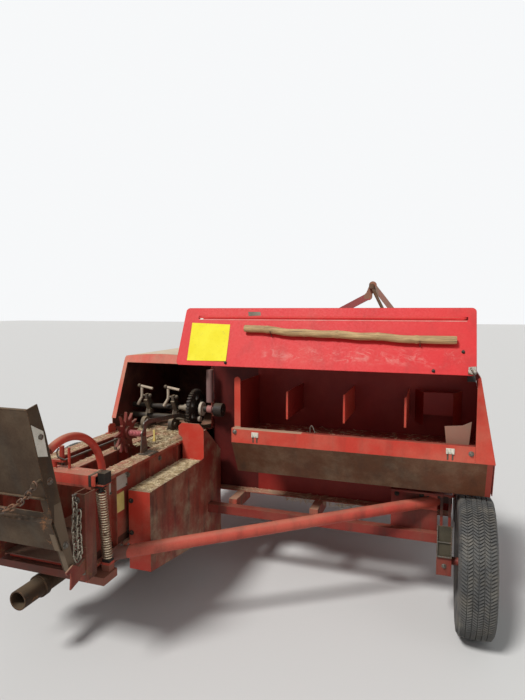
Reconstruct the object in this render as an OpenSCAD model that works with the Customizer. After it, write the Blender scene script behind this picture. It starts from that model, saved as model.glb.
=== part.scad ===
// Square baler: a towed machine seen from behind, with its bale chamber on the left,
// its twine box over the right wheel and its drawbar at the front.
// Local frame of every module: x = 0 on the chamber's centre line, y = 0 on the axle
// line, z = 0 on the ground, +y towards the drawbar. placed() moves it to the part's
// own frame, whose origin is the middle of the outline on the ground.

/* [Bale chamber] */
// Inner width of the bale chamber
chamber_w = 460; // [420:5:500]
// Inner height of the bale chamber
chamber_h = 360; // [330:5:390]
// Height of the chamber's floor above the ground
floor_z = 480; // [460:5:520]
// Rear end of the chamber's side walls, behind the axle line
chamber_rear = 880; // [840:5:900]
// Front end of the chamber, ahead of the axle line
chamber_front = 2050; // [2000:10:2100]
// Thickness of the chamber's plates
wall_t = 6; // [5:0.5:8]
// Rear edge of the feed opening in the right wall
feed_y0 = 350; // [340:5:380]
// Front edge of the feed opening
feed_y1 = 900; // [860:5:940]

/* [Wheels] */
// Outer radius of the right tyre
tyre_r = 341; // [330:1:346]
// Width of the right tyre
tyre_w = 170; // [160:1:190]
// Distance of the right wheel's centre from the chamber's centre line
wheel_x = 1876; // [1850:1:1880]
// Outer radius of the left tyre
left_tyre_r = 380; // [360:1:400]
// Width of the left tyre
left_tyre_w = 250; // [220:1:260]
// Distance of the left wheel's centre from the chamber's centre line
left_wheel_x = 440; // [435:1:480]

/* [Twine box] */
// Left edge of the twine box
box_x0 = 620; // [600:5:660]
// Right edge of the twine box's rail
box_x1 = 1950; // [1945:1:1970]
// Rear face of the twine box, behind the axle line
box_rear = 126; // [110:1:140]
// Inner depth of the twine box
box_depth = 452; // [400:1:480]
// Lower edge of the rear rail
rail_z0 = 890; // [870:1:900]
// Height of the rear rail
rail_h = 80; // [60:1:90]
// Upper edge of the box's walls
box_top = 1220; // [1180:1:1222]
// Thickness of the sheet metal
sheet_t = 4; // [3:0.5:5]

/* [Lid] */
// Left edge of the lid
lid_x0 = 300; // [300:1:320]
// Right edge of the lid
lid_x1 = 1850; // [1830:1:1855]
// Height of the lid's rear panel
lid_drop = 345; // [320:1:350]
// Angle of the open lid
lid_open = 25; // [15:1:27]
// Diameter of the wooden bar on the lid
bar_d = 40; // [34:1:50]

/* [Chute] */
// Length of the bale chute
chute_len = 765; // [700:5:900]
// Width of the bale chute
chute_w = 530; // [500:1:540]
// Lean of the folded chute from upright
chute_lean = 13.4; // [10:0.1:18]

/* [Pickup] */
// Left side of the pickup
pickup_x0 = 330; // [325:5:360]
// Right side of the pickup
pickup_x1 = 1800; // [1760:5:1810]
// Distance of the reel's axis ahead of the axle line
reel_y = 1260; // [1240:5:1290]
// Height of the reel's axis
reel_z = 395; // [385:5:410]
// Radius of the reel at its tine tips
reel_r = 285; // [270:1:290]
// Number of tine bars on the reel
reel_bars = 4; // [3:1:5]
// Number of stripper bands
bands = 17; // [12:1:18]

/* [Drawbar] */
// Length of the drawbar from its pivot to the hitch eye
drawbar_len = 1575; // [1500:5:1700]
// Swing of the drawbar to the right in transport
drawbar_swing = 29; // [20:1:32]
// Side of the square drawbar tube
drawbar_b = 90; // [80:1:95]
// Radius of the hitch eye's hole
eye_r = 20; // [18:0.5:26]
// Radius of the flywheel
flywheel_r = 300; // [270:1:310]

/* [Hidden] */
$fn = 40;

red = [0.72, 0.12, 0.09];
dull_red = [0.50, 0.13, 0.10];
rust = [0.33, 0.24, 0.17];
iron = [0.30, 0.27, 0.23];
zinc = [0.62, 0.58, 0.48];
black = [0.06, 0.06, 0.06];
wood = [0.66, 0.50, 0.28];
gap = 0.3;
e = 1;

// Chamber planes
in_x = chamber_w / 2;
out_x = in_x + wall_t;
top_z = floor_z + chamber_h;
flange_z = top_z + 10;
end_rear = chamber_rear + 70;
end_z0 = floor_z - 20;

// Hitch and outline
pivot = [-90, chamber_front, 380];
eye = [pivot[0] + drawbar_len * sin(drawbar_swing), pivot[1] + drawbar_len * cos(drawbar_swing), pivot[2]];
eye_ring = eye_r + 26;
hinge_y = -(end_rear + 55);
hinge_z = floor_z + 40;
chute_back = 53;
chute_top_y = hinge_y - chute_len * sin(chute_lean) - chute_back * cos(chute_lean);
shift_x = -(wheel_x + tyre_w / 2 - left_wheel_x - left_tyre_w / 2) / 2;
shift_y = -(eye[1] + eye_ring + chute_top_y) / 2;

module placed() translate([shift_x, shift_y, 0]) children();

// Box from its lower to its upper corner
module block(a, b) translate(a) cube(b - a);

// Round rod between two points
module rod(a, b, d) {
    v = b - a;
    n = norm(v);
    translate(a) rotate([0, acos(v[2] / n), atan2(v[1], v[0])]) cylinder(h = n, d = d);
}

// Profile in the y-z plane, extruded along x from x0 to x1
module along_x(x0, x1) translate([x0, 0, 0]) rotate([90, 0, 90]) linear_extrude(x1 - x0) children();

// Profile in the x-z plane, extruded along y from y0 to y1
module along_y(y0, y1) translate([0, y1, 0]) rotate([90, 0, 0]) linear_extrude(y1 - y0) children();

module rounded(w, h, r) {
    translate([r, 0]) square([w - 2 * r, h]);
    translate([0, r]) square([w, h - 2 * r]);
    for (x = [r, w - r], y = [r, h - r]) translate([x, y]) circle(r);
}

module both_sides() {
    children();
    mirror([1, 0, 0]) children();
}

// Round bar along x, from x0 to x1, centred at y and z
module pin_x(x0, x1, y, z, d) translate([x0, y, z]) rotate([0, 90, 0]) cylinder(h = x1 - x0, d = d);

// Round bar along y, from y0 to y1, centred at x and z
module pin_y(y0, y1, x, z, d) translate([x, y0, z]) rotate([-90, 0, 0]) cylinder(h = y1 - y0, d = d);

// Round bar along z, from z0 to z1, centred at x and y
module pin_z(z0, z1, x, y, d) translate([x, y, z0]) cylinder(h = z1 - z0, d = d);

// Curved strip in the y-z plane round a centre, from x0 to x1
module strip_x(x0, x1, y, z, r0, r1, a0, a1) {
    translate([x0, y, z]) rotate([90, 0, 90]) rotate([0, 0, a0])
        rotate_extrude(angle = a1 - a0) translate([r0, 0]) square([r1 - r0, x1 - x0]);
}

// Bent round tube in the y-z plane round a centre
module bend_x(x, y, z, r, d, a0, a1) {
    translate([x, y, z]) rotate([90, 0, 90]) rotate([0, 0, a0])
        rotate_extrude(angle = a1 - a0) translate([r, 0]) circle(d = d);
}

// Flat bar between two points, w wide and t thick
module flat(a, b, w, t) {
    v = b - a;
    n = norm(v);
    translate(a) rotate([0, acos(v[2] / n), atan2(v[1], v[0])]) translate([-t / 2, -w / 2, 0]) cube([t, w, n]);
}

// Side wall: plate with flanges and upright ribs
flange_x = out_x + 29;
rib_ys = [-700, -400, -100, 200, 1000, 1350, 1700];
module wall_plate(y0, y1) {
    block([in_x, y0, floor_z], [out_x, y1, top_z]);
    for (z = [floor_z, top_z - wall_t])
        block([in_x, y0, z], [flange_x, y1, z + wall_t]);
    for (y = [for (r = rib_ys) if (r > y0 && r < y1 - wall_t) r])
        block([in_x, y, floor_z], [flange_x, y + wall_t, top_z]);
}

module chamber_wall_left() color(dull_red) mirror([1, 0, 0]) wall_plate(-chamber_rear, chamber_front);

// The right wall stops on both sides of the feed opening
module chamber_wall_right() color(dull_red) wall_plate(-chamber_rear, feed_y0);
module chamber_wall_front() color(dull_red) wall_plate(feed_y1, chamber_front);

// Needles: arcs round the yoke's pivot
yoke_y = -350;
yoke_z = 420;
needle_x = 97;
needle_arc = 545;
needle_dip = 22;
slot = [24, 130];
slot_y = yoke_y + needle_arc;

module chamber_floor() color(dull_red) {
    difference() {
        block([-flange_x, -chamber_rear, floor_z - wall_t], [flange_x, chamber_front, floor_z]);
        for (x = [-needle_x, needle_x])
            block([x - slot[0] / 2, slot_y - slot[1] / 2, floor_z - 2 * wall_t],
                [x + slot[0] / 2, slot_y + slot[1] / 2, floor_z + e]);
    }
    both_sides() block([in_x, yoke_y - 30, yoke_z - 25], [out_x + 2, yoke_y + 30, floor_z - wall_t]);
}

// Top: open rails behind the knotters, a plate under them and ahead of them
deck_y0 = 60;
deck_y1 = 900;
deck_x = 290;
rail_in = 175;
module chamber_top() color(dull_red) {
    both_sides() block([rail_in, -chamber_rear, top_z], [flange_x, deck_y0, flange_z]);
    block([-32, -chamber_rear, top_z], [32, deck_y0, flange_z]);
    block([-flange_x, -chamber_rear, top_z], [flange_x, -chamber_rear + 90, flange_z]);
    difference() {
        union() {
            block([-flange_x, deck_y0, top_z], [flange_x, chamber_front, flange_z]);
            block([-deck_x, 300, top_z], [deck_x, deck_y1, flange_z]);
        }
        for (x = [-needle_x, needle_x])
            block([x - slot[0] / 2, slot_y - slot[1] / 2, top_z - e],
                [x + slot[0] / 2, slot_y + slot[1] / 2, flange_z + e]);
    }
}

// End posts: channels behind the walls, with the chute's hinge plates
post_x = 285;
plate_x = post_x - 14;
module end_plates() color(red) both_sides() {
    block([in_x, -end_rear, end_z0], [post_x, -end_rear + 6, top_z]);
    block([in_x, -end_rear, end_z0], [out_x, -chamber_rear, top_z]);
    block([post_x - 6, -end_rear, end_z0], [post_x, -chamber_rear, top_z]);
    block([in_x, -end_rear, end_z0], [post_x, -chamber_rear, end_z0 + 6]);
    // Hooked hinge plate and the strap that holds it to the post
    along_x(plate_x, plate_x + 8) union() {
        translate([hinge_y, hinge_z]) circle(r = 24);
        polygon([[hinge_y - 39, hinge_z - 50], [hinge_y + 25, hinge_z - 32], [hinge_y + 20, hinge_z + 20],
            [hinge_y - 19, hinge_z + 49], [hinge_y - 63, hinge_z + 34], [hinge_y - 56, hinge_z + 18], [hinge_y - 30, hinge_z + 22]]);
        polygon([[hinge_y, hinge_z - 20], [-end_rear + e, hinge_z - 20], [-end_rear + e, hinge_z + 42], [hinge_y, hinge_z + 16]]);
    }
    block([plate_x - 8, -end_rear - 3, hinge_z + 60], [post_x + 3, -end_rear + e, hinge_z + 92]);
    pin_x(chute_w / 2 - 24, plate_x + 4, hinge_y, hinge_z, 20);
}

// Two cross-beams that the springs pull together
beam_x = 318;
beam_y0 = -chamber_rear;
beam_y1 = -chamber_rear + 88;
beam_h = 46;
beam_top = flange_z + beam_h;
seat_h = 42;
spring_x = 291;
module density_beams() color(red) {
    difference() {
        block([-post_x, beam_y0, flange_z], [post_x, beam_y1, beam_top]);
        block([-post_x - e, beam_y0 + 5, flange_z + 5], [post_x + e, beam_y1 - 5, beam_top - 5]);
    }
    both_sides() block([post_x - 30, beam_y0 + 10, flange_z], [beam_x, beam_y1 - 10, flange_z + 5.5]);
    block([-beam_x, beam_y0, floor_z - 72], [beam_x, beam_y1 + 12, floor_z - 36]);
    block([-in_x, beam_y0 + 30, floor_z - 36], [in_x, beam_y1 - 8, floor_z - wall_t]);
    both_sides() block([spring_x - 20, spring_y1 - 20, floor_z - 36 - e], [spring_x + 20, spring_y1 + 20, floor_z - 36 + seat_h]);
}

// Springs, their tops further back than their feet
spring_y0 = beam_y0 + 30;
spring_y1 = beam_y0 + 70;
coil_d = 46;
wire_d = 8;
coils = 28;
spring_z0 = floor_z - 36 + seat_h;
spring_z1 = flange_z;
spring_end = 12;
spring_a = [spring_x, spring_y1, spring_z0 + spring_end / 2];
spring_b = [spring_x, spring_y0, spring_z1 - spring_end / 2];
spring_len = norm(spring_b - spring_a);
spring_h = spring_len - 20;
module density_springs() color(iron) both_sides() {
    translate(spring_a) rotate([asin((spring_y1 - spring_y0) / spring_len), 0, 0]) rotate_extrude() {
        square([10, spring_len]);
        translate([0, 10]) square([coil_d / 2 - wire_d / 2, spring_h]);
        for (i = [0 : coils - 1])
            translate([coil_d / 2 - wire_d / 2, 10 + spring_h * (i + 0.5) / coils]) circle(d = wire_d);
    }
    block([spring_x - 19, spring_y1 - 17, spring_z0], [spring_x + 19, spring_y1 + 17, spring_z0 + spring_end]);
    block([spring_x - 19, spring_y0 - 17, spring_z1 - spring_end], [spring_x + 19, spring_y0 + 17, spring_z1]);
    block([post_x + 0.5, spring_y0 - 12, flange_z + 5.5], [beam_x + 5, spring_y0 + 36, flange_z + 58]);
}

crank_y = beam_y0 + 50;
module density_cranks() color(red) {
    for (x = [-150, 30]) {
        pin_z(beam_top, beam_top + 40, x, crank_y, 22);
        block([x - 10, crank_y - 9, beam_top + 30], [x + 56, crank_y + 9, beam_top + 40]);
        pin_z(beam_top + 36, beam_top + 105, x + 43, crank_y, 22);
        pin_z(beam_top, beam_top + 96, x + 72, crank_y + 12, 13);
    }
}

// Tube hoop that the folded chute leans against
hoop_r = 226;
hoop_y = -989;
hoop_z = flange_z + 14;
module rear_hoop() color(red) {
    bend_x(238, hoop_y, hoop_z, hoop_r, 34, 0, 119);
    pin_z(flange_z, hoop_z, 238, hoop_y + hoop_r, 34);
}

tow_x = -60;
tow_z = 328;
tow_d = 89;
tow_y0 = -985;
tow_y1 = 50;
axle_y0 = 60;
axle_y1 = 110;
axle_z0 = 395;
axle_z1 = 445;
axle_clear = 4;
module hitch_tube() color(rust) {
    difference() {
        union() {
            pin_y(tow_y0, tow_y1, tow_x, tow_z, tow_d);
            pin_y(tow_y0 + 125, tow_y0 + 155, tow_x, tow_z, tow_d + 16);
            for (y = [-700, tow_y1 - 30])
                block([tow_x - 30, y, tow_z], [tow_x + 30, y + 12, floor_z - wall_t]);
        }
        pin_y(tow_y0 - e, tow_y1 + e, tow_x, tow_z, tow_d - 13);
    }
}

stay_a = [flange_x, -712, 472];
stay_b = [wheel_x - 220, 100, 600];
module stay_bar() color(dull_red) {
    difference() {
        rod(stay_a + (stay_a - stay_b) * 0.02, stay_b + (stay_b - stay_a) * 0.03, 60);
        block([0, -900, 300], [flange_x, 0, 700]);
        block([stay_b[0] - 240, stay_b[1], 300], [stay_b[0] + 260, 400, 900]);
    }
    block([flange_x, -780, 436], [flange_x + 6, -660, 508]);
    block([stay_b[0] - 50, stay_b[1] - 6, 556], [stay_b[0] + 40, stay_b[1], 644]);
}

leg_clear = 22;
leg_x1 = wheel_x - tyre_w / 2 - leg_clear;
leg_x0 = leg_x1 - 72;
leg_plate_x0 = leg_x1 - 312;
module axle_beam() color(red) {
    block([-300, axle_y0, axle_z0], [leg_x1, axle_y1, axle_z1]);
    both_sides() block([170, axle_y0, axle_z1], [220, axle_y1, floor_z - wall_t]);
}

stub_d = 40;
module axle_legs() color(red) {
    // Right leg: plate, stub axle and hanger rods
    block([leg_x0, -50, tyre_r - 60], [leg_x1, axle_y0, axle_z1]);
    pin_x(leg_x1 - e, wheel_x + 20, 0, tyre_r, stub_d);
    block([leg_plate_x0, axle_y1 - 10, axle_z1], [leg_x1 - 72, axle_y1 - 4, 650]);
    block([leg_plate_x0, axle_y1 - 50, 650], [leg_x1, axle_y1 - 4, 660]);
    block([leg_plate_x0, axle_y1 - 10, 600], [leg_x1, axle_y1 - 4, 650]);
    for (x = [leg_plate_x0, leg_x1 - 112])
        block([x, axle_y1 - 10, 650], [x + 40, axle_y1 - 4, box_floor - sheet_t]);
    for (x = [leg_x1 - 52, leg_x1 - 12])
        block([x - 7, axle_y1 - 50, axle_z1], [x + 7, axle_y1 - 36, 650]);
    // Left leg
    block([-300, -50, left_tyre_r - 60], [-270, axle_y0, left_tyre_r + 60]);
    pin_x(-left_wheel_x - 20, -300 + e, 0, left_tyre_r, stub_d);
}

guard_x = 385;
guard_y = -34;
guard_low = 737;
module needle_guard() color(red) {
    difference() {
        along_x(flange_x, guard_x) polygon([[-600, 345], [230, 205], [250, 205], [250, 735], [40, 905],
            [guard_y, 905], [guard_y, 740], [-600, 740]]);
        along_x(flange_x - e, guard_x - 4) polygon([[-596, 100], [246, 100], [246, 732], [38, 901],
            [guard_y + 4, 901], [guard_y + 4, 736], [-596, 736]]);
        block([flange_x, axle_y0 - axle_clear, axle_z0 - axle_clear], [guard_x + e, axle_y1 + axle_clear, axle_z1 + axle_clear]);
    }
    along_y(guard_y - 4, guard_y) polygon([[flange_x + 2, guard_low], [guard_x, guard_low], [guard_x + 20, guard_low + 20],
        [guard_x + 20, 925], [guard_x - 10, 955], [flange_x - 3, 955], [242, 935], [242, 886], [flange_x + 2, 866]]);
}

module needle_yoke() color(rust) {
    both_sides() {
        pin_x(out_x + 2, 292, yoke_y, yoke_z, 36);
        flat([284, yoke_y, yoke_z], [284, yoke_y + needle_arc * cos(needle_dip), yoke_z - needle_arc * sin(needle_dip)], 46, 12);
        strip_x(needle_x - 6, needle_x + 6, yoke_y, yoke_z, needle_arc - 14, needle_arc + 12, -needle_dip, 2);
    }
    pin_x(-292, 292, yoke_y + needle_arc * cos(needle_dip), yoke_z - needle_arc * sin(needle_dip), 44);
}

// Knotter hood: sheet box with a flat crown, its open back leaning forward. The rim
// round the back is a top band and a left post; the right wall starts further forward.
hood_x0 = -250;
hood_z = 1335;
hood_low = 940;
hood_crown = 2200;
hood_foot = 5;
hood_lean = 173;
hood_band = 57;
hood_wall_y = 330;
function hood_back(z) = hood_foot + hood_lean * (z - hood_low) / (hood_z - hood_low);
module hood_front(inset) intersection() {
    translate([hood_x0 + inset, 700]) rounded(deck_x - hood_x0 - 2 * inset, hood_z - 700 - inset, 38 - inset);
    translate([(hood_x0 + deck_x) / 2, hood_z - hood_crown - inset]) circle(r = hood_crown, $fn = 240);
}
module knotter_hood() color(red) difference() {
    intersection() {
        along_x(hood_x0, deck_x) polygon([[hood_foot, hood_low], [hood_back(hood_z), hood_z], [deck_y1, hood_z],
            [deck_y1, flange_z], [300, flange_z], [300, hood_low]]);
        along_y(-e, deck_y1 + e) hood_front(0);
    }
    intersection() {
        along_x(hood_x0, deck_x) polygon([[hood_back(600) + sheet_t, 600], [hood_back(1400) + sheet_t, 1400],
            [deck_y1 - sheet_t, 1400], [deck_y1 - sheet_t, 600]]);
        along_y(-400, deck_y1) hood_front(sheet_t);
    }
    along_y(-400, hood_wall_y) polygon([[hood_x0 + 35, 600], [hood_x0 + 26, hood_z - hood_band],
        [deck_x + e, hood_z - hood_band], [deck_x + e, 600]]);
}

// Knotters
tuck_y = 220;
tuck_z = 925;
knot_y = 250;
knot_z = 985;
lever_y = 209;
module knotter(x) {
    difference() {
        along_x(x - 28, x - 12) union() {
            translate([130, flange_z]) square([170, 26]);
            polygon([[165, flange_z], [270, flange_z], [284, knot_z], [216, knot_z], [188, tuck_z]]);
            translate([tuck_y, tuck_z]) circle(r = 32);
            translate([knot_y, knot_z]) circle(r = 34);
            polygon([[270, knot_z + 10], [224, knot_z + 85], [194, knot_z + 85], [196, knot_z + 50], [222, knot_z]]);
        }
        pin_x(x - 40, x, tuck_y, tuck_z, 35.6);
        pin_x(x - 40, x, knot_y, knot_z, 35.6);
    }
    pin_x(x - 12, x + 14, 150, 895, 76);
    pin_x(x - 12, x + 26, 150, 895, 26);
    flat([x + 4, 200, 960], [x + 4, 150, 1040], 24, 10);
    block([x - 12, 186, 946], [x + 14, 214, 974]);
    // Tripping lever with its two balls
    along_y(lever_y - 5, lever_y + 4) polygon([[x - 64, 1118], [x - 52, 1118], [x - 52, 1034], [x - 80, 992],
        [x - 94, 998], [x - 66, 1040]]);
    rod([x - 76, lever_y, 1121], [x + 18, lever_y, 1106], 12);
    translate([x - 76, lever_y, 1121]) sphere(d = 24);
    pin_x(x - 58, x + 2, lever_y, 1056, 14);
    translate([x + 2, lever_y, 1058]) sphere(d = 24);
}
module knotter_left() color(iron) knotter(-needle_x);
module knotter_right() color(iron) knotter(needle_x);

gear_r = 125;
teeth = 36;
module cam_gear(x) along_x(x, x + 20) difference() {
    union() {
        translate([knot_y, knot_z]) circle(r = gear_r - 10);
        for (i = [0 : teeth - 1])
            translate([knot_y, knot_z]) rotate(i * 360 / teeth) translate([gear_r - 16, -5.5]) square([16, 11]);
    }
    for (a = [30 : 60 : 330])
        translate([knot_y + 72 * cos(a), knot_z + 72 * sin(a)]) circle(r = 21);
}
module knotter_shaft() color(iron) {
    pin_x(-230, 262, tuck_y, tuck_z, 35);
    pin_x(hood_x0 + sheet_t + gap, 412, knot_y, knot_z, 35);
    cam_gear(205);
    pin_x(135, 185, knot_y, knot_z, 46);
    pin_x(252, 268, knot_y, knot_z, 88);
    pin_x(300, 332, knot_y, knot_z, 50);
    pin_x(352, 405, knot_y, knot_z, 85);
}

post_y = 250;
module knotter_post() color(red) {
    pin_z(1031, 1238, deck_x + 24, post_y, 45);
    block([deck_x, post_y, 1036], [deck_x + 12, hood_wall_y + 30, 1076]);
}

// Flat bar with round ends in a flat outline
module strap(a, b, w) {
    v = b - a;
    translate(a) rotate(atan2(v[1], v[0])) translate([0, -w / 2]) square([norm(v), w]);
    for (p = [a, b]) translate(p) circle(d = w + 3);
}

trip_x = 182;
module trip_arm() color(rust) {
    difference() {
        union() {
            pin_x(158, trip_x + 10, tuck_y, tuck_z, 56);
            along_x(trip_x, trip_x + 8) union() {
                strap([tuck_y, tuck_z], [77, 972], 26);
                strap([77, 972], [-280, 1009], 24);
                strap([-280, 1009], [-316, 999], 22);
                strap([-316, 999], [-318, 897], 20);
            }
        }
        pin_x(149, trip_x + 20, tuck_y, tuck_z, 35.6);
    }
    pin_x(trip_x - 12, trip_x + 2, -240, 1006, 19);
}

star_x = 93;
star_y = -350;
star_z = 955;
star_r = 112;
star_plate = 197;
module star_bracket() color(red) {
    difference() {
        union() {
            block([star_plate - 6, star_y - 40, flange_z], [flange_x, star_y + 40, flange_z + 8]);
            along_x(star_plate, star_plate + 6) union() {
                polygon([[star_y - 34, flange_z], [star_y + 34, flange_z], [star_y + 20, star_z], [star_y - 20, star_z]]);
                translate([star_y, star_z]) circle(r = 24);
            }
        }
        pin_x(star_plate - 10, star_plate + 16, star_y, star_z, 24.6);
    }
    // Trip rod on two lugs
    pin_y(beam_y1 + 12, -320, 16, flange_z + 55, 10);
    for (y = [beam_y1 + 30, -345])
        block([9, y, flange_z], [23, y + 8, flange_z + 62]);
}
module star_wheel() color(iron) {
    along_x(star_x - 8, star_x + 8) union() {
        translate([star_y, star_z]) circle(r = 62);
        for (i = [0 : 11])
            translate([star_y, star_z]) rotate(i * 30) polygon([[50, -15], [star_r, 0], [50, 15]]);
    }
    pin_x(star_x - 22, star_x + 22, star_y, star_z, 70);
    pin_x(star_x - 22, star_plate + 10, star_y, star_z, 24);
}

// Twine box
box_front = box_depth - box_rear;
box_floor = rail_z0 + 15;
side_lean = 82;
side_top = 1300;
// Left face of the leaning side wall at a height, less a hair
function side_at(z) = box_x1 - 6 - (side_lean - 6) * (z - rail_z0) / (side_top - rail_z0) - gap;
front_x0 = 312;
front_x1 = lid_x1 - 14;
front_top = box_top + 35;
corner_x = lid_x1 + 8;
// Strip with a round top, drawn upright from its foot
module tab(w, h) {
    square([w, h - w / 2]);
    translate([w / 2, h - w / 2]) circle(d = w);
}
module box_shell() color(red) {
    block([box_x0, -box_rear + 6, box_floor - sheet_t], [side_at(box_floor), box_front, box_floor]);
    along_y(box_front - sheet_t, box_front) polygon([[front_x0, floor_z], [table_x1, floor_z], [table_x1, box_floor],
        [side_at(box_floor), box_floor], [side_at(box_top), box_top], [front_x1, box_top], [front_x1, front_top],
        [front_x0, front_top]]);
    block([box_x0, -box_rear + 34, box_floor - sheet_t], [box_x0 + sheet_t, box_front, box_top - 8]);
    along_y(-box_rear + 32, -box_rear + 38) translate([box_x0, box_floor - sheet_t]) tab(36, box_top + 33 - box_floor);
    // Shroud of three faces on the front wall and the gusset plate at the right
    difference() {
        translate([0, 0, box_floor + 75]) linear_extrude(187) difference() {
            polygon([[1562, box_front], [1610, box_front - 104], [1764, box_front - 104], [1813, box_front]]);
            polygon([[1567, box_front + e], [1613, box_front - 100], [1761, box_front - 100], [1808, box_front + e]]);
        }
        block([1550, box_front - sheet_t / 2, box_floor], [1820, box_front + 2 * e, box_top]);
        block([1611, box_front - 110, box_floor], [1763, box_front - 90, box_floor + 137]);
    }
    along_y(-62, -58) polygon([[1734, box_floor - sheet_t / 2], [1718, 1046], [1801, 1055], [1842, 1076], [1832, 960], [1850, box_floor - sheet_t / 2]]);
}

module box_rail() color(red) {
    block([box_x0 - 5, -box_rear, rail_z0], [corner_x - gap, -box_rear + 6, rail_z0 + rail_h]);
    block([box_x0 - 5, -box_rear, rail_z0 + rail_h - 6], [corner_x - gap, -box_rear + 30, rail_z0 + rail_h]);
}

under_z0 = 2 * tyre_r + 20;
module under_panel() color(dull_red) along_x(box_x0 - 5, box_x1 - 12) polygon([
    [-box_rear, rail_z0], [-box_rear + sheet_t, rail_z0], [-30 + sheet_t, under_z0], [-30, under_z0]
]);

module box_side() color(red) {
    along_y(-box_rear + 2, box_front) polygon([[box_x1 - 6, rail_z0], [box_x1 - 2, rail_z0],
        [box_x1 - side_lean + sheet_t, side_top], [box_x1 - side_lean, side_top]]);
    along_y(-box_rear, -box_rear + sheet_t) polygon([[corner_x, rail_z0], [box_x1 - 2, rail_z0],
        [box_x1 - side_lean + sheet_t, side_top], [corner_x, side_top - 6]]);
    along_x(box_x1 - 6, box_x1 - 2) polygon([[-box_rear + 30, rail_z0], [-20, under_z0 + 4], [100, under_z0 + 4],
        [box_front, rail_z0]]);
}

divider_pitch = 312;
module box_dividers() color(red) for (i = [1 : 3]) {
    x = box_x0 + i * divider_pitch - 28;
    block([x, -30, 1018], [x + sheet_t, box_front - sheet_t, 1172]);
    block([x - 4, -34, 1018], [x + 7, -29, 1172]);
}

// Feeder table, its end wall and the pickup's pivot brackets
table_y0 = 250;
table_x1 = box_x1 - 190;
lift_y = 800;
lift_z = 440;
module feed_table() color(dull_red) {
    block([flange_x, table_y0, floor_z - wall_t], [table_x1, feed_y1, floor_z]);
    block([table_x1 - wall_t, box_front + 10, floor_z], [table_x1, feed_y1, rail_z0 + 36]);
    for (x = [500, 1000, 1500])
        block([x, axle_y1, axle_z1 - 40], [x + 50, table_y0 + 100, floor_z - wall_t]);
    for (x = [358, 1734])
        block([x, lift_y - 35, lift_z - 30], [x + 12, lift_y + 35, floor_z - wall_t]);
    pin_x(1746, pickup_x1, lift_y, lift_z, 28);
    pin_x(pickup_x0 + 2, 358, lift_y, lift_z, 28);
}

cover_z = rail_z0 + 36;
module feed_cover() color(red) {
    block([deck_x, box_front, cover_z], [table_x1, feed_y1, cover_z + sheet_t]);
    block([deck_x + 40, feed_y1 - sheet_t, 700], [table_x1 - wall_t, feed_y1, cover_z]);
    block([deck_x, feed_y1 - 60, cover_z], [table_x1, feed_y1, cover_z + 50]);
    block([front_x0, lid_y + 4, 1150], [front_x1, lid_y + 10, 1226]);
    // Lid brackets and the stands of the feeder's linkage
    for (x = [lid_pin_x0 - 10, lid_pin_x1 + 2])
        block([x, lid_y - 10, cover_z], [x + 8, lid_y + 15, lid_z + 12]);
    pin_x(lid_pin_x0 - 4, lid_pin_x0 + 48, lid_y, lid_z, 12);
    pin_x(lid_pin_x1 - 48, lid_pin_x1 + 4, lid_y, lid_z, 12);
}

link_y = 775;
apex = [1261, link_y, 1780];
// Flat link with round ends between two points
module link(a, b, w) {
    v = b - a;
    translate(a) rotate(atan2(v[1], v[0])) translate([0, -w / 2]) square([norm(v), w]);
    for (p = [a, b]) translate(p) circle(d = w + 8);
}
module feeder_arm() color(red) {
    block([640, link_y - 30, cover_z + sheet_t], [700, link_y - 10, 1440]);
    block([1600, link_y - 30, cover_z + sheet_t], [1660, link_y - 10, 1330]);
    along_y(link_y - 10, link_y + 8) union() {
        link([672, 1412], [1232, 1706], 44);
        link([1232, 1706], [apex[0], apex[2]], 40);
        link([apex[0], apex[2]], [1630, 1306], 34);
    }
}

module feeder_fork() color(rust) {
    block([560, 600, 850], [1560, 640, 886]);
    for (x = [700, 1400])
        block([x, 606, 886], [x + 40, 634, cover_z]);
    for (i = [0 : 5])
        rod([590 + i * 188, 620, 852], [560 + i * 188, 620, 640], 20);
}

// Front frame: drawbar clevis under the chamber
clevis_t = 14;
boss_r = 46;
module front_frame() color(red) {
    block([-220, pivot[1] - 130, pivot[2] - drawbar_b / 2 - clevis_t - 6], [60, pivot[1] - 110, floor_z - wall_t]);
    for (z = [pivot[2] - drawbar_b / 2 - clevis_t - 5, pivot[2] + drawbar_b / 2 + 5])
        translate([0, 0, z]) linear_extrude(clevis_t) union() {
            translate([pivot[0] - 60, pivot[1] - 112]) square([120, 112]);
            translate([pivot[0], pivot[1]]) circle(r = 60);
        }
    pin_z(pivot[2] - drawbar_b / 2 - clevis_t - 6, pivot[2] + drawbar_b / 2 + clevis_t + 14, pivot[0], pivot[1], 36);
}

fly_z = 780;
module gearbox() color(iron) difference() {
    union() {
        block([-out_x, chamber_front, floor_z - wall_t], [out_x, chamber_front + 12, flange_z]);
        pin_z(570, 930, 0, chamber_front + 160, 290);
        pin_z(930, 960, 0, chamber_front + 160, 200);
        block([-145, chamber_front + 12, 600], [145, chamber_front + 160, 900]);
        pin_y(chamber_front + 160, chamber_front + 330, 0, fly_z, 170);
        pin_y(chamber_front + 330, chamber_front + 354, 0, fly_z, 130);
    }
    pin_y(chamber_front + 250, chamber_front + 355, 0, fly_z, 50.6);
}

module crank_cover() color(red) difference() {
    along_y(deck_y1, chamber_front) intersection() {
        translate([-200, 700]) rounded(400, 330, 60);
        translate([-210, flange_z]) square([420, 300]);
    }
    along_y(deck_y1 + sheet_t, chamber_front - sheet_t) translate([-196, 700]) rounded(392, 326, 56);
}

plunger_y0 = 1300;
plunger_len = 450;
module plunger() color(iron) block([-in_x + 4, plunger_y0, floor_z], [in_x - 4, plunger_y0 + plunger_len, top_z - 6]);

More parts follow.
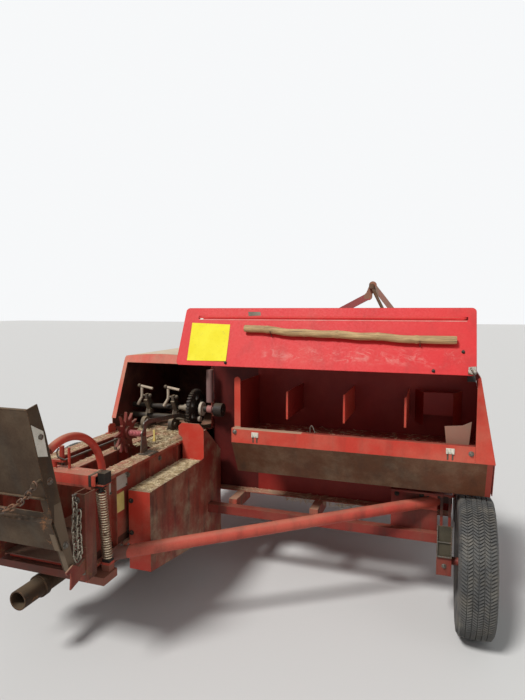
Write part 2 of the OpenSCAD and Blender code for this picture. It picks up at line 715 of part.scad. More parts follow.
fly_y = chamber_front + 390;
module flywheel() color(red) {
    pin_y(chamber_front + 260, chamber_front + 545, 0, fly_z, 50);
    pin_y(chamber_front + 545, chamber_front + 620, 0, fly_z, 35);
    translate([0, fly_y, fly_z]) rotate([-90, 0, 0]) rotate_extrude() {
        translate([flywheel_r - 60, 0]) square([60, 70]);
        translate([20, 20]) square([flywheel_r - 60, 18]);
        square([70, 60]);
    }
}

module flywheel_guard() color(red) {
    difference() {
        pin_y(chamber_front + 354, chamber_front + 358, 0, fly_z, 2 * flywheel_r + 50);
        pin_y(chamber_front + 350, chamber_front + 360, 0, fly_z, 70);
    }
    translate([0, chamber_front + 358, fly_z]) rotate([-90, 0, 0]) rotate([0, 0, 150])
        rotate_extrude(angle = 240) translate([flywheel_r + 18, -1]) square([4, 121]);
}

// Drawbar, along its own +y before it swings to the right
module drawbar_pose() translate(pivot) rotate([0, 0, -drawbar_swing]) children();
jack_at = 870;
jack_off = 92;
jack_d = 54;
jack_z1 = 740;
module drawbar() color(red) drawbar_pose() {
    difference() {
        union() {
            block([-drawbar_b / 2, 0, -drawbar_b / 2], [drawbar_b / 2, drawbar_len - 90, drawbar_b / 2]);
            translate([0, 0, -drawbar_b / 2]) cylinder(h = drawbar_b, r = boss_r);
            block([drawbar_b / 2 - e, jack_at - 30, -20], [jack_off - 20, jack_at + 30, 40]);
            translate([jack_off, jack_at, -80]) cylinder(h = jack_z1 - pivot[2] + 80, d = jack_d + 12);
            translate([jack_off, jack_at, jack_z1 - pivot[2]]) cylinder(h = 30, d = 40);
        }
        translate([0, 0, -drawbar_b / 2 - e]) cylinder(h = drawbar_b + 2 * e, d = 36.6);
        translate([jack_off, jack_at, -81]) cylinder(h = jack_z1 - pivot[2] + 70, d = jack_d + 0.6);
    }
}

module hitch_eye() color(iron) drawbar_pose() difference() {
    union() {
        translate([0, drawbar_len, -16]) cylinder(h = 32, r = eye_ring);
        block([-30, drawbar_len - 90, -16], [30, drawbar_len - 20, 16]);
        block([-drawbar_b / 2, drawbar_len - 90, -drawbar_b / 2], [drawbar_b / 2, drawbar_len - 78, drawbar_b / 2]);
    }
    translate([0, drawbar_len, -17]) cylinder(h = 34, r = eye_r);
}

module jack_leg() color(zinc) drawbar_pose() translate([jack_off, jack_at, -pivot[2]]) {
    cylinder(h = 10, d = 170);
    cylinder(h = 450, d = jack_d);
}

// Lid, drawn shut and then opened about its hinge
lid_y = 610;
lid_z = 1245;
lid_pin_x0 = 650;
lid_pin_x1 = 1740;
lid_low = rail_z0 + rail_h + 8;
lid_high = lid_low + lid_drop;
module lid_pose() translate([0, lid_y, lid_z]) rotate([-lid_open, 0, 0]) translate([0, -lid_y, -lid_z]) children();
module lid_shell() color(red) lid_pose() {
    along_y(-box_rear + 2, -box_rear + 2 + sheet_t) translate([lid_x0, lid_low])
        rounded(lid_x1 - lid_x0, lid_drop, 22);
    along_x(lid_x0, lid_x1) polygon([[-box_rear + 2, lid_high - 22], [-box_rear + 2, lid_high - 26], [-box_rear + 40, lid_high - sheet_t - 4],
        [lid_y - 20, lid_z - 2], [lid_y - 20, lid_z + 2], [-box_rear + 38, lid_high - 4]]);
    for (x = [lid_x0, lid_x1 - sheet_t])
        along_x(x, x + sheet_t) polygon([[-box_rear + 2, lid_low + 20], [-box_rear + 36, lid_low + 20],
            [-box_rear + 50, lid_high - 60], [lid_y - 40, lid_z - 12], [lid_y - 20, lid_z], [-box_rear + 40, lid_high - 8],
            [-box_rear + 2, lid_high - 26]]);
    for (x = [lid_pin_x0, lid_pin_x1 - 50])
        difference() {
            union() {
                pin_x(x, x + 50, lid_y, lid_z, 26);
                block([x, lid_y - 24, lid_z - 2], [x + 50, lid_y, lid_z + 2]);
            }
            pin_x(x - e, x + 51, lid_y, lid_z, 12.6);
        }
}
module lid_bar() color(wood) lid_pose()
    rod([684, -box_rear + 2 - bar_d / 2, lid_low + 193], [1762, -box_rear + 2 - bar_d / 2, lid_low + 178], bar_d);

// Chute, along its own +z before it leans back: two arms with a kink, a flat panel
// above the kink and a dished one below it
module chute_pose() translate([0, hinge_y, hinge_z]) rotate([chute_lean, 0, 0]) children();
kink = 360;
foot = [-16, -6];
panel_z = 392;
dish = [130, 322];
dish_out = 14;
arm_t = 5;
flange_w = 34;
function back_at(z) = foot[0] - (chute_back + foot[0]) * (z - foot[1]) / (kink - foot[1]);
module chute_tray() color(rust) chute_pose() {
    w = chute_w / 2;
    both_sides() difference() {
        union() {
            along_x(w - arm_t, w) polygon([foot, [-chute_back, kink], [-chute_back, chute_len], [2, chute_len],
                [12, chute_len - 130], [12, 60], [16, -10], [-8, -24]]);
            along_x(w - flange_w, w - e) polygon([[back_at(20), 20], [-chute_back, kink], [-chute_back, panel_z + 3],
                [-chute_back + 4, panel_z + 3], [-chute_back + 4, kink], [back_at(20) + 4, 20]]);
        }
        pin_x(w - 6, w + 1, 0, 0, 20.6);
    }
    block([-w + 1, -chute_back, panel_z], [w - 1, -chute_back + 4, chute_len - 2]);
    block([-w + 2, -chute_back - 1, chute_len - 5], [w - 2, -chute_back + 10, chute_len - 1]);
    block([-w + 1, -chute_back - 8, panel_z - 4], [w - 1, -chute_back + 3, panel_z + 1]);
    along_x(-w + 2, w - 2) polygon([[back_at(dish[0]) - 1, dish[0]], [back_at(dish[0] + 14) - dish_out, dish[0] + 14],
        [back_at(dish[1] - 42) - dish_out, dish[1] - 42], [back_at(dish[1] - 28) - 1, dish[1] - 28],
        [back_at(dish[1]) - 1, dish[1]], [back_at(dish[1]) + 3, dish[1]], [back_at(dish[1] - 28) + 3, dish[1] - 28],
        [back_at(dish[1] - 42) - dish_out + 5, dish[1] - 44], [back_at(dish[0] + 14) - dish_out + 5, dish[0] + 16],
        [back_at(dish[0]) + 3, dish[0]]]);
    // Studs that carry the chain's end links
    both_sides() {
        pin_y(chain_y - link_t / 2 - gap - 5, -chute_back + 2, stud[0], stud[1], link_in - 0.6);
        pin_y(chain_y - link_t / 2 - gap - 5, chain_y - link_t / 2 - gap, stud[0], stud[1], link_in + 8);
    }
}

// Chain: a catenary of equal links between the two studs
chain_span = chute_w / 2 - 4;
chain_z = 480;
chain_a = 242;
chain_links = 21;
link_t = 7;
link_in = 14;
chain_y = -chute_back - 32;
chain_half = chain_a * (exp(chain_span / chain_a) - exp(-chain_span / chain_a)) / 2;
function hang(s) = [chain_a * ln(s / chain_a + sqrt(pow(s / chain_a, 2) + 1)), chain_y,
    chain_z - sqrt(pow(chain_a, 2) + pow(chain_half, 2)) + sqrt(pow(chain_a, 2) + pow(s, 2))];
link_pitch = 2 * chain_half / chain_links;
stud_in = link_pitch / 2 - 5;
stud = [hang(chain_half - stud_in)[0], hang(chain_half - stud_in)[2]];
module oval(l, d) {
    square([l - d, d], center = true);
    for (x = [-1, 1]) translate([x * (l - d) / 2, 0]) circle(d = d);
}
module chain_link(l) translate([0, 0, -link_t / 2]) linear_extrude(link_t) difference() {
    oval(l + link_t, link_in + 2 * link_t);
    oval(l - link_t, link_in);
}
module chute_chain() color(rust) chute_pose() for (i = [0 : chain_links - 1]) {
    a = hang(-chain_half + i * link_pitch);
    b = hang(-chain_half + (i + 1) * link_pitch);
    l = norm(b - a) + link_t - 1.2;
    translate((a + b) / 2) rotate([0, -atan2(b[2] - a[2], b[0] - a[0]), 0]) rotate([90 * ((i + 1) % 2), 0, 0])
        chain_link(l);
}

// Pickup
lift_r = 26;
sill_y = feed_y1 + 20;
module pickup_frame() color(dull_red) {
    for (x = [pickup_x0, pickup_x1 - wall_t])
        difference() {
            along_x(x, x + wall_t) union() {
                translate([reel_y, reel_z]) circle(r = 262);
                translate([lift_y, lift_z]) circle(r = lift_r);
                polygon([[lift_y - 10, lift_z - lift_r + 2], [reel_y, reel_z - 200], [reel_y - 60, reel_z + 250], [1060, 560],
                    [1000, lift_z + 60], [960, lift_z], [feed_y1, lift_z - 12], [lift_y + 10, lift_z + lift_r - 3]]);
                polygon([[1000, 700], [1000, 770], [1045, 770], [1130, 600], [1060, 560]]);
            }
            pin_x(x - e, x + wall_t + e, lift_y, lift_z, 28.8);
            pin_x(x - e, x + wall_t + e, reel_y, reel_z, 40.6);
        }
    block([pickup_x0 + wall_t, sill_y, lift_z - 10], [pickup_x1 - wall_t, sill_y + 30, lift_z + 30]);
    pin_x(pickup_x1 - e, 1905, 1350, 216, 30);
}

band_r = 216;
band_pitch = (pickup_x1 - pickup_x0 - 90) / bands;
band_w = band_pitch - 28;
tail_a = 113;
module band_profile() {
    translate([reel_y, reel_z]) difference() {
        circle(r = band_r + 3, $fn = 80);
        circle(r = band_r, $fn = 80);
        polygon([[0, 0], 400 * [cos(tail_a), sin(tail_a)], [-600, 400], [-600, -400], 400 * [cos(-70), sin(-70)]]);
    }
    translate([reel_y, reel_z]) rotate(tail_a) translate([band_r - 1, -14]) square([5, 298]);
    translate([sill_y + 30, lift_z - 10]) square([6, 66]);
}
module pickup_bands() color(red) for (i = [0 : bands - 1]) {
    x = pickup_x0 + 45 + (i + 0.5) * band_pitch - band_w / 2;
    along_x(x, x + band_w) band_profile();
}

module windguard() color(red) {
    pin_x(pickup_x0 + wall_t, pickup_x1 - wall_t, 1022, 742, 34);
    for (i = [0 : 8]) {
        x = pickup_x0 + 80 + i * 160;
        rod([x, 1022, 742], [x, 1560, 655], 12);
    }
}

module pickup_reel() color(rust) {
    pin_x(pickup_x0 - 12, pickup_x1 + 12, reel_y, reel_z, 40);
    for (x = [pickup_x0 + 12, pickup_x1 - 20])
        pin_x(x, x + 8, reel_y, reel_z, 400);
    for (b = [0 : reel_bars - 1]) {
        a = b * 360 / reel_bars + 20;
        pin_x(pickup_x0 + 12, pickup_x1 - 12, reel_y + 184 * cos(a), reel_z + 184 * sin(a), 26);
        for (i = [0 : bands])
            rod([pickup_x0 + 45 + i * band_pitch, reel_y + 184 * cos(a), reel_z + 184 * sin(a)],
                [pickup_x0 + 45 + i * band_pitch, reel_y + reel_r * cos(a), reel_z + reel_r * sin(a)], 8);
    }
}

// Wheels
module tyre(x, y, r, w, rim, round) translate([x, y, r]) rotate([0, 90, 0]) rotate_extrude()
    translate([rim, -w / 2]) rounded(r - rim, w, round);

module rim(x, y, z, r, w, hub, bore) translate([x, y, z]) rotate([0, 90, 0]) rotate_extrude() {
    translate([r - 10, -w / 2]) square([10, w]);
    translate([hub, -4]) square([r - hub - 5, 8]);
    translate([bore, -w / 2 + 14]) square([hub - bore, w - 20]);
}
rim_r = 150;
left_rim_r = 192;
module tyre_right() color(black) tyre(wheel_x, 0, tyre_r, tyre_w, rim_r, 44);
module rim_right() color(rust) rim(wheel_x, 0, tyre_r, rim_r, tyre_w - 50, 52, stub_d / 2 + gap);
module tyre_left() color(black) tyre(-left_wheel_x, 0, left_tyre_r, left_tyre_w, left_rim_r, 56);
module rim_left() color(rust) rim(-left_wheel_x, 0, left_tyre_r, left_rim_r, left_tyre_w - 60, 56, stub_d / 2 + gap);
gauge_r = 200;
module gauge_tyre() color(black) translate([0, 0, 16]) tyre(1862, 1350, gauge_r, 84, 100, 34);
module gauge_rim() color(rust) rim(1862, 1350, gauge_r + 16, 100, 60, 36, 15.3);

placed() chamber_wall_left();
placed() chamber_wall_right();
placed() chamber_wall_front();
placed() chamber_floor();
placed() chamber_top();
placed() end_plates();
placed() density_beams();
placed() density_springs();
placed() density_cranks();
placed() rear_hoop();
placed() hitch_tube();
placed() stay_bar();
placed() axle_beam();
placed() axle_legs();
placed() needle_guard();
placed() needle_yoke();
placed() knotter_hood();
placed() knotter_left();
placed() knotter_right();
placed() knotter_shaft();
placed() knotter_post();
placed() trip_arm();
placed() star_bracket();
placed() star_wheel();
placed() box_shell();
placed() box_rail();
placed() under_panel();
placed() box_side();
placed() box_dividers();
placed() feed_table();
placed() feed_cover();
placed() feeder_arm();
placed() feeder_fork();
placed() front_frame();
placed() gearbox();
placed() crank_cover();
placed() plunger();
placed() flywheel();
placed() flywheel_guard();
placed() drawbar();
placed() hitch_eye();
placed() jack_leg();
placed() lid_shell();
placed() lid_bar();
placed() chute_tray();
placed() chute_chain();
placed() pickup_frame();
placed() pickup_bands();
placed() windguard();
placed() pickup_reel();
placed() gauge_tyre();
placed() gauge_rim();
placed() tyre_right();
placed() rim_right();
placed() tyre_left();
placed() rim_left();
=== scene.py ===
# %% [markdown]
# # A small square baler, dressed in Blender
# The machine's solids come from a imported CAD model, and this lesson gives them their looks: faded red paint
# with dust and rust, a tread, a spring that is a real helix, chains, a weathered pole and loose chaff.
# Sizes are in metres and places on the machine in millimetres. x runs to the right of the machine, y towards its
# drawbar and z upwards.

# %% Load the frame
import math
import random
from functools import partialmethod, reduce
from math import cos, pi, radians, sin

import bmesh
import bpy
from mathutils import Matrix, Vector, noise


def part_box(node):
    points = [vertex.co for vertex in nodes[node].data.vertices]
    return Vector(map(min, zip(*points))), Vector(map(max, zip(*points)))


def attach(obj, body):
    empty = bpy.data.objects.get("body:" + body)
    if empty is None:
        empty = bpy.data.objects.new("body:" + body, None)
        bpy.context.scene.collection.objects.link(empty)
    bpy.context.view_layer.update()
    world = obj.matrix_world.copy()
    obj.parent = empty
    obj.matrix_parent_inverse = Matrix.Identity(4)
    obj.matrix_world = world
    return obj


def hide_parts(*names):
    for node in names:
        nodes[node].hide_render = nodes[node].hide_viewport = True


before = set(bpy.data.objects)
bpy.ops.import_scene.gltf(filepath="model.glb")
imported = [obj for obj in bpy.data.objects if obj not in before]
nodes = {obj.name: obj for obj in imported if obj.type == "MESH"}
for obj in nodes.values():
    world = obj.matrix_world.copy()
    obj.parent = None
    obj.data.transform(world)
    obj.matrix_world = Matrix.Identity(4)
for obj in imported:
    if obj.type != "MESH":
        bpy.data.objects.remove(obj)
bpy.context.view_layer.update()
scene = bpy.context.scene

# %% [markdown]
# The CAD model was drawn from two natural lines: the middle of the bale chamber and the axle. Places on the machine
# are easiest to say from those lines in millimetres, so one helper turns such a place into the frame's metres.

# %% Places on the machine
MM = 0.001


def middle(node):
    low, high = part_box(node)
    return (low + high) / 2


chamber_x = middle("chamber_floor").x
axle_y = middle("tyre_right").y


def at(x, y, z):
    """A place in millimetres from the chamber's middle, the axle line and the ground, in the frame's metres."""
    return Vector((chamber_x + x * MM, axle_y + y * MM, z * MM))


def ray(angle):
    """A unit vector across the axle, from the drawbar's side upwards."""
    return Vector((0, cos(angle), sin(angle)))


def new_object(name, data):
    made = bpy.data.objects.new(name, data)
    scene.collection.objects.link(made)
    return made


def spot(place):
    """Any place as a vector in metres: three millimetres or a ready vector."""
    return place if isinstance(place, Vector) else at(*place)


print("chamber line at x", round(chamber_x, 4), "and axle line at y", round(axle_y, 4))

# %% [markdown]
# ## The camera
# The photo was taken standing, a little to the right of the machine's middle. A phone lens of about 26 mm, held
# almost level and turned to the left, gives the strong perspective: the folded chute at the left is very near.

# %% Camera
EYE = at(1675, -2710, 1615)
TURN_LEFT = radians(18.8)
TILT_DOWN = radians(4.44)
FOCAL_PIXELS = 515
PHOTO_HEIGHT = 700

lens = bpy.data.cameras.new("photo_lens")
lens.sensor_width = 36
lens.lens = FOCAL_PIXELS / PHOTO_HEIGHT * lens.sensor_width
camera = new_object("photo_camera", lens)
camera.location = EYE
camera.rotation_euler = (radians(90) - TILT_DOWN, 0, TURN_LEFT)
scene.camera = camera
print("camera at", tuple(round(v, 3) for v in EYE), "lens", round(lens.lens, 2))

# %% [markdown]
# ## A small kit for node trees
# The world, the finishes and the grown shapes are all node trees, and one class adds a node in one call. Every finish
# is the same idea in other amounts: paint that has faded in patches, dirt that has run down, rust, worn edges, and
# dust on what faces up. Some finishes also carry painted shade on inner walls and in dark boxes, or a painted
# highlight on faces that look back.


# %% Tree kit and material kit
class Kit:
    """Adds nodes to a tree."""

    def __init__(self, tree, prefix):
        self.tree = tree
        self.prefix = prefix

    def node(self, kind, inputs=None, **settings):
        node = self.tree.nodes.new(kind if "Node" in kind else self.prefix + kind)
        for key, value in settings.items():
            setattr(node, key, value)
        for key, value in (inputs or {}).items():
            self.feed(node.inputs[key], value)
        return node

    def feed(self, socket, value):
        if isinstance(value, bpy.types.NodeSocket):
            self.tree.links.new(value, socket)
        else:
            socket.default_value = value


LOOKS = {}


class Layers(Kit):
    """Adds shader nodes to one new material, which LOOKS keeps under its name."""

    def __init__(self, name):
        LOOKS[name] = bpy.data.materials.new(name)
        LOOKS[name].use_nodes = True
        super().__init__(LOOKS[name].node_tree, "ShaderNode")
        self.shader = self.tree.nodes["Principled BSDF"].inputs
        self.coords = self.node("TexCoord").outputs

    def noise(self, scale, detail=5, rough=0.6, stretch=(1, 1, 1), shift=(0, 0, 0), twist=0.0):
        place = self.node("Mapping", {"Vector": self.coords["Object"], "Scale": stretch, "Location": shift})
        return self.node("TexNoise", {"Vector": place.outputs[0], "Scale": scale, "Detail": detail,
                                      "Roughness": rough, "Distortion": twist}).outputs["Fac"]

    def span(self, value, low, high, start=0.0, end=1.0):
        """Maps low..high of a value to start..end with soft ends."""
        return self.node("MapRange", {"Value": value, "From Min": low, "From Max": high, "To Min": start,
                                      "To Max": end}, interpolation_type="SMOOTHSTEP").outputs["Result"]

    def math(self, operation, *values):
        """Joins two or more values from the left, and keeps sums and products within 0..1."""
        clamp = operation != "MAXIMUM"
        return reduce(lambda a, b: self.node("Math", {0: a, 1: b}, operation=operation,
                                             use_clamp=clamp).outputs[0], values)

    times = partialmethod(math, "MULTIPLY")
    plus = partialmethod(math, "ADD")
    less = partialmethod(math, "SUBTRACT")

    def mix(self, share, a, b):
        a, b = (v if isinstance(v, bpy.types.NodeSocket) else (*v, 1) for v in (a, b))
        return self.node("Mix", {0: share, 6: a, 7: b}, data_type="RGBA").outputs[2]

    def dot(self, a, b):
        return self.node("VectorMath", {0: a, 1: b}, operation="DOT_PRODUCT").outputs["Value"]

    def rounded(self, radius):
        """The normal as if the edges were bevelled."""
        return self.node("Bevel", {"Radius": radius}, samples=4).outputs["Normal"]

    def facing(self, axis, low, high, start=0.0, end=1.0):
        """A mask of the faces whose normal, along one axis, lies between low and high."""
        split = self.node("SeparateXYZ", {0: self.coords["Normal"]})
        return self.span(split.outputs[axis], low, high, start, end)

    def within(self, box, soft=0.0005):
        """A mask of the places inside a box, given by two corners in six millimetres, with soft walls."""
        split = self.node("SeparateXYZ", {0: self.coords["Object"]})
        mask = 1.0
        for axis, a, b in zip("XYZ", at(*box[:3]), at(*box[3:])):
            mask = self.times(mask, self.span(split.outputs[axis], a - soft, a + soft),
                              self.span(split.outputs[axis], b - soft, b + soft, 1.0, 0.0))
        return mask

    def inside(self, centre):
        """A mask of the faces that look at a place inside a shell: the inner walls."""
        way = self.node("VectorMath", {0: tuple(at(*centre)), 1: self.coords["Object"]}, operation="SUBTRACT")
        return self.span(self.dot(way.outputs[0], self.coords["Normal"]), 0.0, 0.03)

    def edges(self, radius):
        """A mask of the edges, from the difference of the bevelled and the true normal."""
        true = self.node("NewGeometry").outputs["True Normal"]
        return self.span(self.less(1.0, self.dot(self.rounded(radius), true)), 0.02, 0.16)

    def bump(self, height, strength, distance, rounding=0.0):
        node = self.node("Bump", {"Height": height, "Strength": strength, "Distance": distance})
        if rounding:
            self.feed(node.inputs["Normal"], self.rounded(rounding))
        self.feed(self.shader["Normal"], node.outputs["Normal"])

    def finish(self, colour, roughness, metal=0.0):
        for label, value in (("Base Color", colour), ("Roughness", roughness), ("Metallic", metal)):
            self.feed(self.shader[label], value)


RUST_DARK = (0.075, 0.036, 0.020)
RUST_LIGHT = (0.21, 0.095, 0.042)
DUST = (0.40, 0.31, 0.20)
GRIME = (0.030, 0.022, 0.016)
SCRAPED = (0.66, 0.30, 0.25)
EDGE = 0.005
PAINT_SHINE, SHEET_SHINE = 0.24, 0.18


def paint(name, fresh, faded, fade, grime, rust, dust, wear, gloss=0.42, film=0.30, inner=None,
          hollow_shade_colour=(0.020, 0.009, 0.007), rear=None, spots=(), smear=None):
    """Paint that has faded, run with dirt, rusted, worn through at the edges and gathered dust. inner is a place whose
    surrounding walls darken to the inner colour: painted shade inside a hollow, with some grime. rear is a brighter
    colour painted on the faces that look back, which also get no dirt or dust veil: a painted highlight for their lit
    side.
    spots are boxes with a colour laid over the paint, some of them painted shade, and smear is a box with pale scrapes."""
    m = Layers(name)
    m.shader["Specular IOR Level"].default_value = PAINT_SHINE
    patches = m.noise(1.7, 5, 0.62, shift=(3.1, 0.4, 1.9))
    blotches = m.noise(7.5, 7, 0.66, shift=(0.3, 5.2, 2.2), twist=0.4)
    grain = m.noise(120, 3)
    runs = m.noise(9, 6, stretch=(1.6, 1.6, 0.14), shift=(7.7, 1.2, 0.5))
    scratches = m.noise(38, 5, 0.75, stretch=(1, 1, 2.2), twist=1.5)
    colour = m.mix(m.span(patches, 0.36, 0.68, 0.0, fade), fresh, faded)
    colour = m.mix(m.span(grain, 0.3, 0.7, 0.0, 0.16), colour, [c * 0.62 for c in fresh])
    dirt = m.times(m.span(runs, 0.44, 0.70), m.span(blotches, 0.30, 0.62, 0.25))
    soiled_unlit_faces = 1.0
    # Faces that look back take the brighter rear colour and are kept clear of dirt: a painted highlight for their lit
    # side.
    if rear:
        lit_clean_rear = m.facing("Y", -0.95, -0.70, 0.72, 0.0)
        soiled_unlit_faces = m.less(1.0, lit_clean_rear)
        colour = m.mix(lit_clean_rear, colour, rear)
    if smear:
        scrape = m.noise(26, 8, 0.75, stretch=(0.6, 1, 1), twist=0.8)
        band = m.times(m.within(smear, 0.02), m.span(scrape, 0.46, 0.66, 0.0, 0.42),
                       m.facing("Y", -0.80, -0.60, 1.0, 0.0))
        colour = m.mix(band, colour, SCRAPED)
    colour = m.mix(m.times(dirt, soiled_unlit_faces, grime), colour, GRIME)
    rusted = m.span(m.plus(blotches, m.times(m.less(scratches, 0.42), 0.45)), 0.80 - 0.22 * rust, 0.86 - 0.20 * rust)
    worn = m.times(m.edges(EDGE), m.span(scratches, 0.56 - 0.14 * wear, 0.62 - 0.10 * wear))
    bare = m.math("MAXIMUM", rusted, m.times(worn, min(1.0, wear * 1.4)))
    colour = m.mix(bare, colour, m.mix(m.span(scratches, 0.35, 0.65), RUST_DARK, RUST_LIGHT))
    lying = m.times(m.facing("Z", 0.45, 0.95), m.span(blotches, 0.22, 0.58, 0.45))
    veil = m.times(m.span(m.noise(4.2, 8, 0.7, shift=(9, 2, 4)), 0.42, 0.70), film, soiled_unlit_faces)
    dusty = m.times(m.math("MAXIMUM", lying, veil), dust)
    colour = m.mix(dusty, colour, DUST)
    # The walls round the inner place darken: painted shade inside a hollow, with some grime.
    if inner:
        shade = m.times(m.inside(inner), m.span(blotches, 0.25, 0.75, 0.96, 0.80), m.span(dusty, 0.2, 0.8, 1.0, 0.55))
        colour = m.mix(shade, colour, hollow_shade_colour)
    # Each box lays its colour over the paint; some of these boxes are painted shade.
    for *box, own in spots:
        colour = m.mix(m.times(m.within(box), m.span(blotches, 0.2, 0.6, 0.95, 0.75)), colour, own)
    rough = m.plus(m.span(grain, 0.2, 0.8, gloss, gloss + 0.12), m.times(bare, 0.35), m.times(dusty, 0.40))
    m.bump(m.plus(m.times(blotches, 0.35), m.times(bare, 0.3), m.times(grain, 0.12)), 0.35, 0.0022, EDGE * 0.6)
    m.finish(colour, rough)


print("the material kit is ready")

# %% [markdown]
# ## Light and floor
# A plain studio: a broad lamp high on the left behind the viewer, a weaker one from the right, a pale floor and a
# pale world that fills the shadows. Only cameras and reflections see the bright background.

# %% World, lamps and floor
scene.view_settings.view_transform = "Standard"

world = bpy.data.worlds.new("studio")
world.use_nodes = True
scene.world = world
studio = Kit(world.node_tree, "ShaderNode")
studio.tree.nodes.clear()
rays = studio.node("LightPath").outputs
seen = rays["Is Camera Ray"]
for kind in ("Is Glossy Ray", "Is Transmission Ray"):
    seen = studio.node("Math", {0: seen, 1: rays[kind]}, operation="MAXIMUM").outputs[0]
fill, backdrop = (studio.node("Background", {"Color": colour, "Strength": strength}).outputs[0]
                  for colour, strength in (((0.93, 0.96, 1.0, 1), 0.30), ((0.93, 0.94, 0.95, 1), 1.0)))
studio.node("OutputWorld", {0: studio.node("MixShader", {0: seen, 1: fill, 2: backdrop}).outputs[0]})


def sun(name, strength, softness, pitch, turn):
    """A lamp from far away: pitch is its height in degrees, turn its bearing from behind the viewer."""
    lamp = bpy.data.lights.new(name, "SUN")
    lamp.energy = strength
    lamp.angle = radians(softness)
    new_object(name, lamp).rotation_euler = (radians(90 - pitch), 0, radians(turn))


sun("key_lamp", 3.0, 12, 50, -24)
sun("fill_lamp", 0.30, 40, 30, 60)

FLOOR = 60
floor_mesh = bpy.data.meshes.new("floor")
floor_mesh.from_pydata([(-FLOOR, -FLOOR, 0), (FLOOR, -FLOOR, 0), (FLOOR, FLOOR, 0), (-FLOOR, FLOOR, 0)], [],
                       [(0, 1, 2, 3)])
Layers("floor_finish").finish((0.62, 0.61, 0.59, 1), 0.9)
floor_mesh.materials.append(LOOKS["floor_finish"])
floor = new_object("floor", floor_mesh)
print("lamps and floor are in place")

# %% [markdown]
# ## Finishes
# The lid and the twine box still have bright red paint gone slightly pink in the sun. The chamber and the frame are
# duller, and the folded chute has lost nearly all of its paint, so it is brown steel. Each row gives the fresh and
# the faded colour, then how faded, grimy, rusty, dusty and worn the paint is. The spots are boxes in millimetres.

# %% Paints
paint("lid_paint", (0.60, 0.016, 0.018), (0.63, 0.036, 0.032), 0.75, 0.16, 0.02, 0.16, 0.35, gloss=0.46,
      smear=(800, -400, 1352, 1800, 400, 1420))
# The box's inner walls darken to a deep red, painted shade inside the box, and its first spot, near black, is painted
# shade on the front wall beside the hood.
paint("box_paint", (0.50, 0.040, 0.024), (0.60, 0.115, 0.070), 0.75, 0.30, 0.12, 0.50, 0.6,
      inner=(1150, 60, 1190), hollow_shade_colour=(0.20, 0.014, 0.011),
      spots=((300, 200, 400, 616, 324, 1400, (0.045, 0.007, 0.006)),
             (1700, -70, 890, 1850, -50, 1085, (0.21, 0.155, 0.11)),
             (622, -130, 965, 1010, -90, 975, (0.40, 0.29, 0.19))))
# The hood's inner walls turn near black: painted shade inside the hood, with some grime.
paint("hood_paint", (0.50, 0.050, 0.034), (0.62, 0.17, 0.11), 0.8, 0.25, 0.15, 1.0, 0.6, film=0.45,
      inner=(20, 560, 1100), spots=((-236, 194, 1290, 300, 1200, 1350, (0.64, 0.53, 0.40)),))
# The guard's faces that look back get a brighter red: a painted highlight for its lit rear end.
paint("guard_paint", (0.27, 0.030, 0.020), (0.25, 0.085, 0.050), 0.9, 0.75, 0.30, 0.90, 0.8, film=0.85,
      rear=(0.60, 0.045, 0.026))
# The density beams' first spot, near black, is painted shade on the lower beam; the second is a tan bracket.
for name, spots in (
        ("frame_paint", ()),
        ("beam_paint", ((-330, -900, 400, 222, -760, 447, (0.055, 0.034, 0.024)),
                        (228, -900, 400, 330, -760, 475, (0.17, 0.075, 0.048)))),
        ("link_paint", ((600, 700, 1340, 1236, 850, 1850, (0.27, 0.085, 0.085)),
                        (1205, 700, 1690, 1300, 850, 1850, (0.26, 0.16, 0.10)),
                        (1262, 700, 1300, 1700, 850, 1770, (0.26, 0.20, 0.155))))):
    paint(name, (0.46, 0.036, 0.022), (0.50, 0.095, 0.056), 0.7, 0.50, 0.35, 0.45, 0.75, spots=spots)
paint("stay_paint", (0.42, 0.040, 0.026), (0.47, 0.105, 0.066), 0.7, 0.45, 0.35, 0.22, 0.75,
      spots=((260, -800, 400, 322, -600, 540, (0.10, 0.066, 0.050)),))
# A dark red for the axle beam and legs, painted shade for where they sit under the box; the spot is painted shade in
# the dark gap above the leg's channel.
paint("under_paint", (0.20, 0.016, 0.012), (0.21, 0.055, 0.036), 0.8, 0.7, 0.40, 0.14, 0.6,
      spots=((1695, -60, 541, 1775, 200, 644, (0.040, 0.022, 0.016)),))
paint("chamber_paint", (0.34, 0.034, 0.021), (0.37, 0.095, 0.058), 0.8, 0.80, 0.50, 0.60, 0.8, film=0.5,
      spots=((-240, -900, 440, 240, -560, 520, (0.050, 0.032, 0.022)),))
paint("post_paint", (0.19, 0.024, 0.016), (0.22, 0.068, 0.042), 0.7, 0.95, 0.75, 0.45, 0.9)
paint("tube_paint", (0.23, 0.13, 0.12), (0.30, 0.19, 0.17), 0.7, 0.5, 0.30, 0.3, 0.6)
paint("brown_panel", (0.090, 0.036, 0.015), (0.17, 0.055, 0.028), 0.7, 0.45, 0.20, 0.34, 0.4, 0.5, 0.6,
      spots=((1912, -130, 680, 1960, 0, 896, (0.36, 0.050, 0.036)),))
ARM_DUST = (0.16, 0.115, 0.075)
paint("chute_steel", (0.040, 0.022, 0.011), (0.084, 0.047, 0.025), 0.8, 0.8, 0.60, 0.18, 0.7, 0.66, 0.5,
      spots=((-270, -1110, 480, -238, -925, 850, ARM_DUST), (238, -1110, 480, 270, -925, 850, ARM_DUST)))
paint("rusty_iron", (0.10, 0.058, 0.034), (0.22, 0.145, 0.09), 0.9, 0.7, 0.8, 0.4, 0.9, 0.6)
paint("dark_iron", (0.040, 0.032, 0.025), (0.11, 0.088, 0.065), 0.7, 0.9, 0.35, 0.35, 0.5, 0.5)
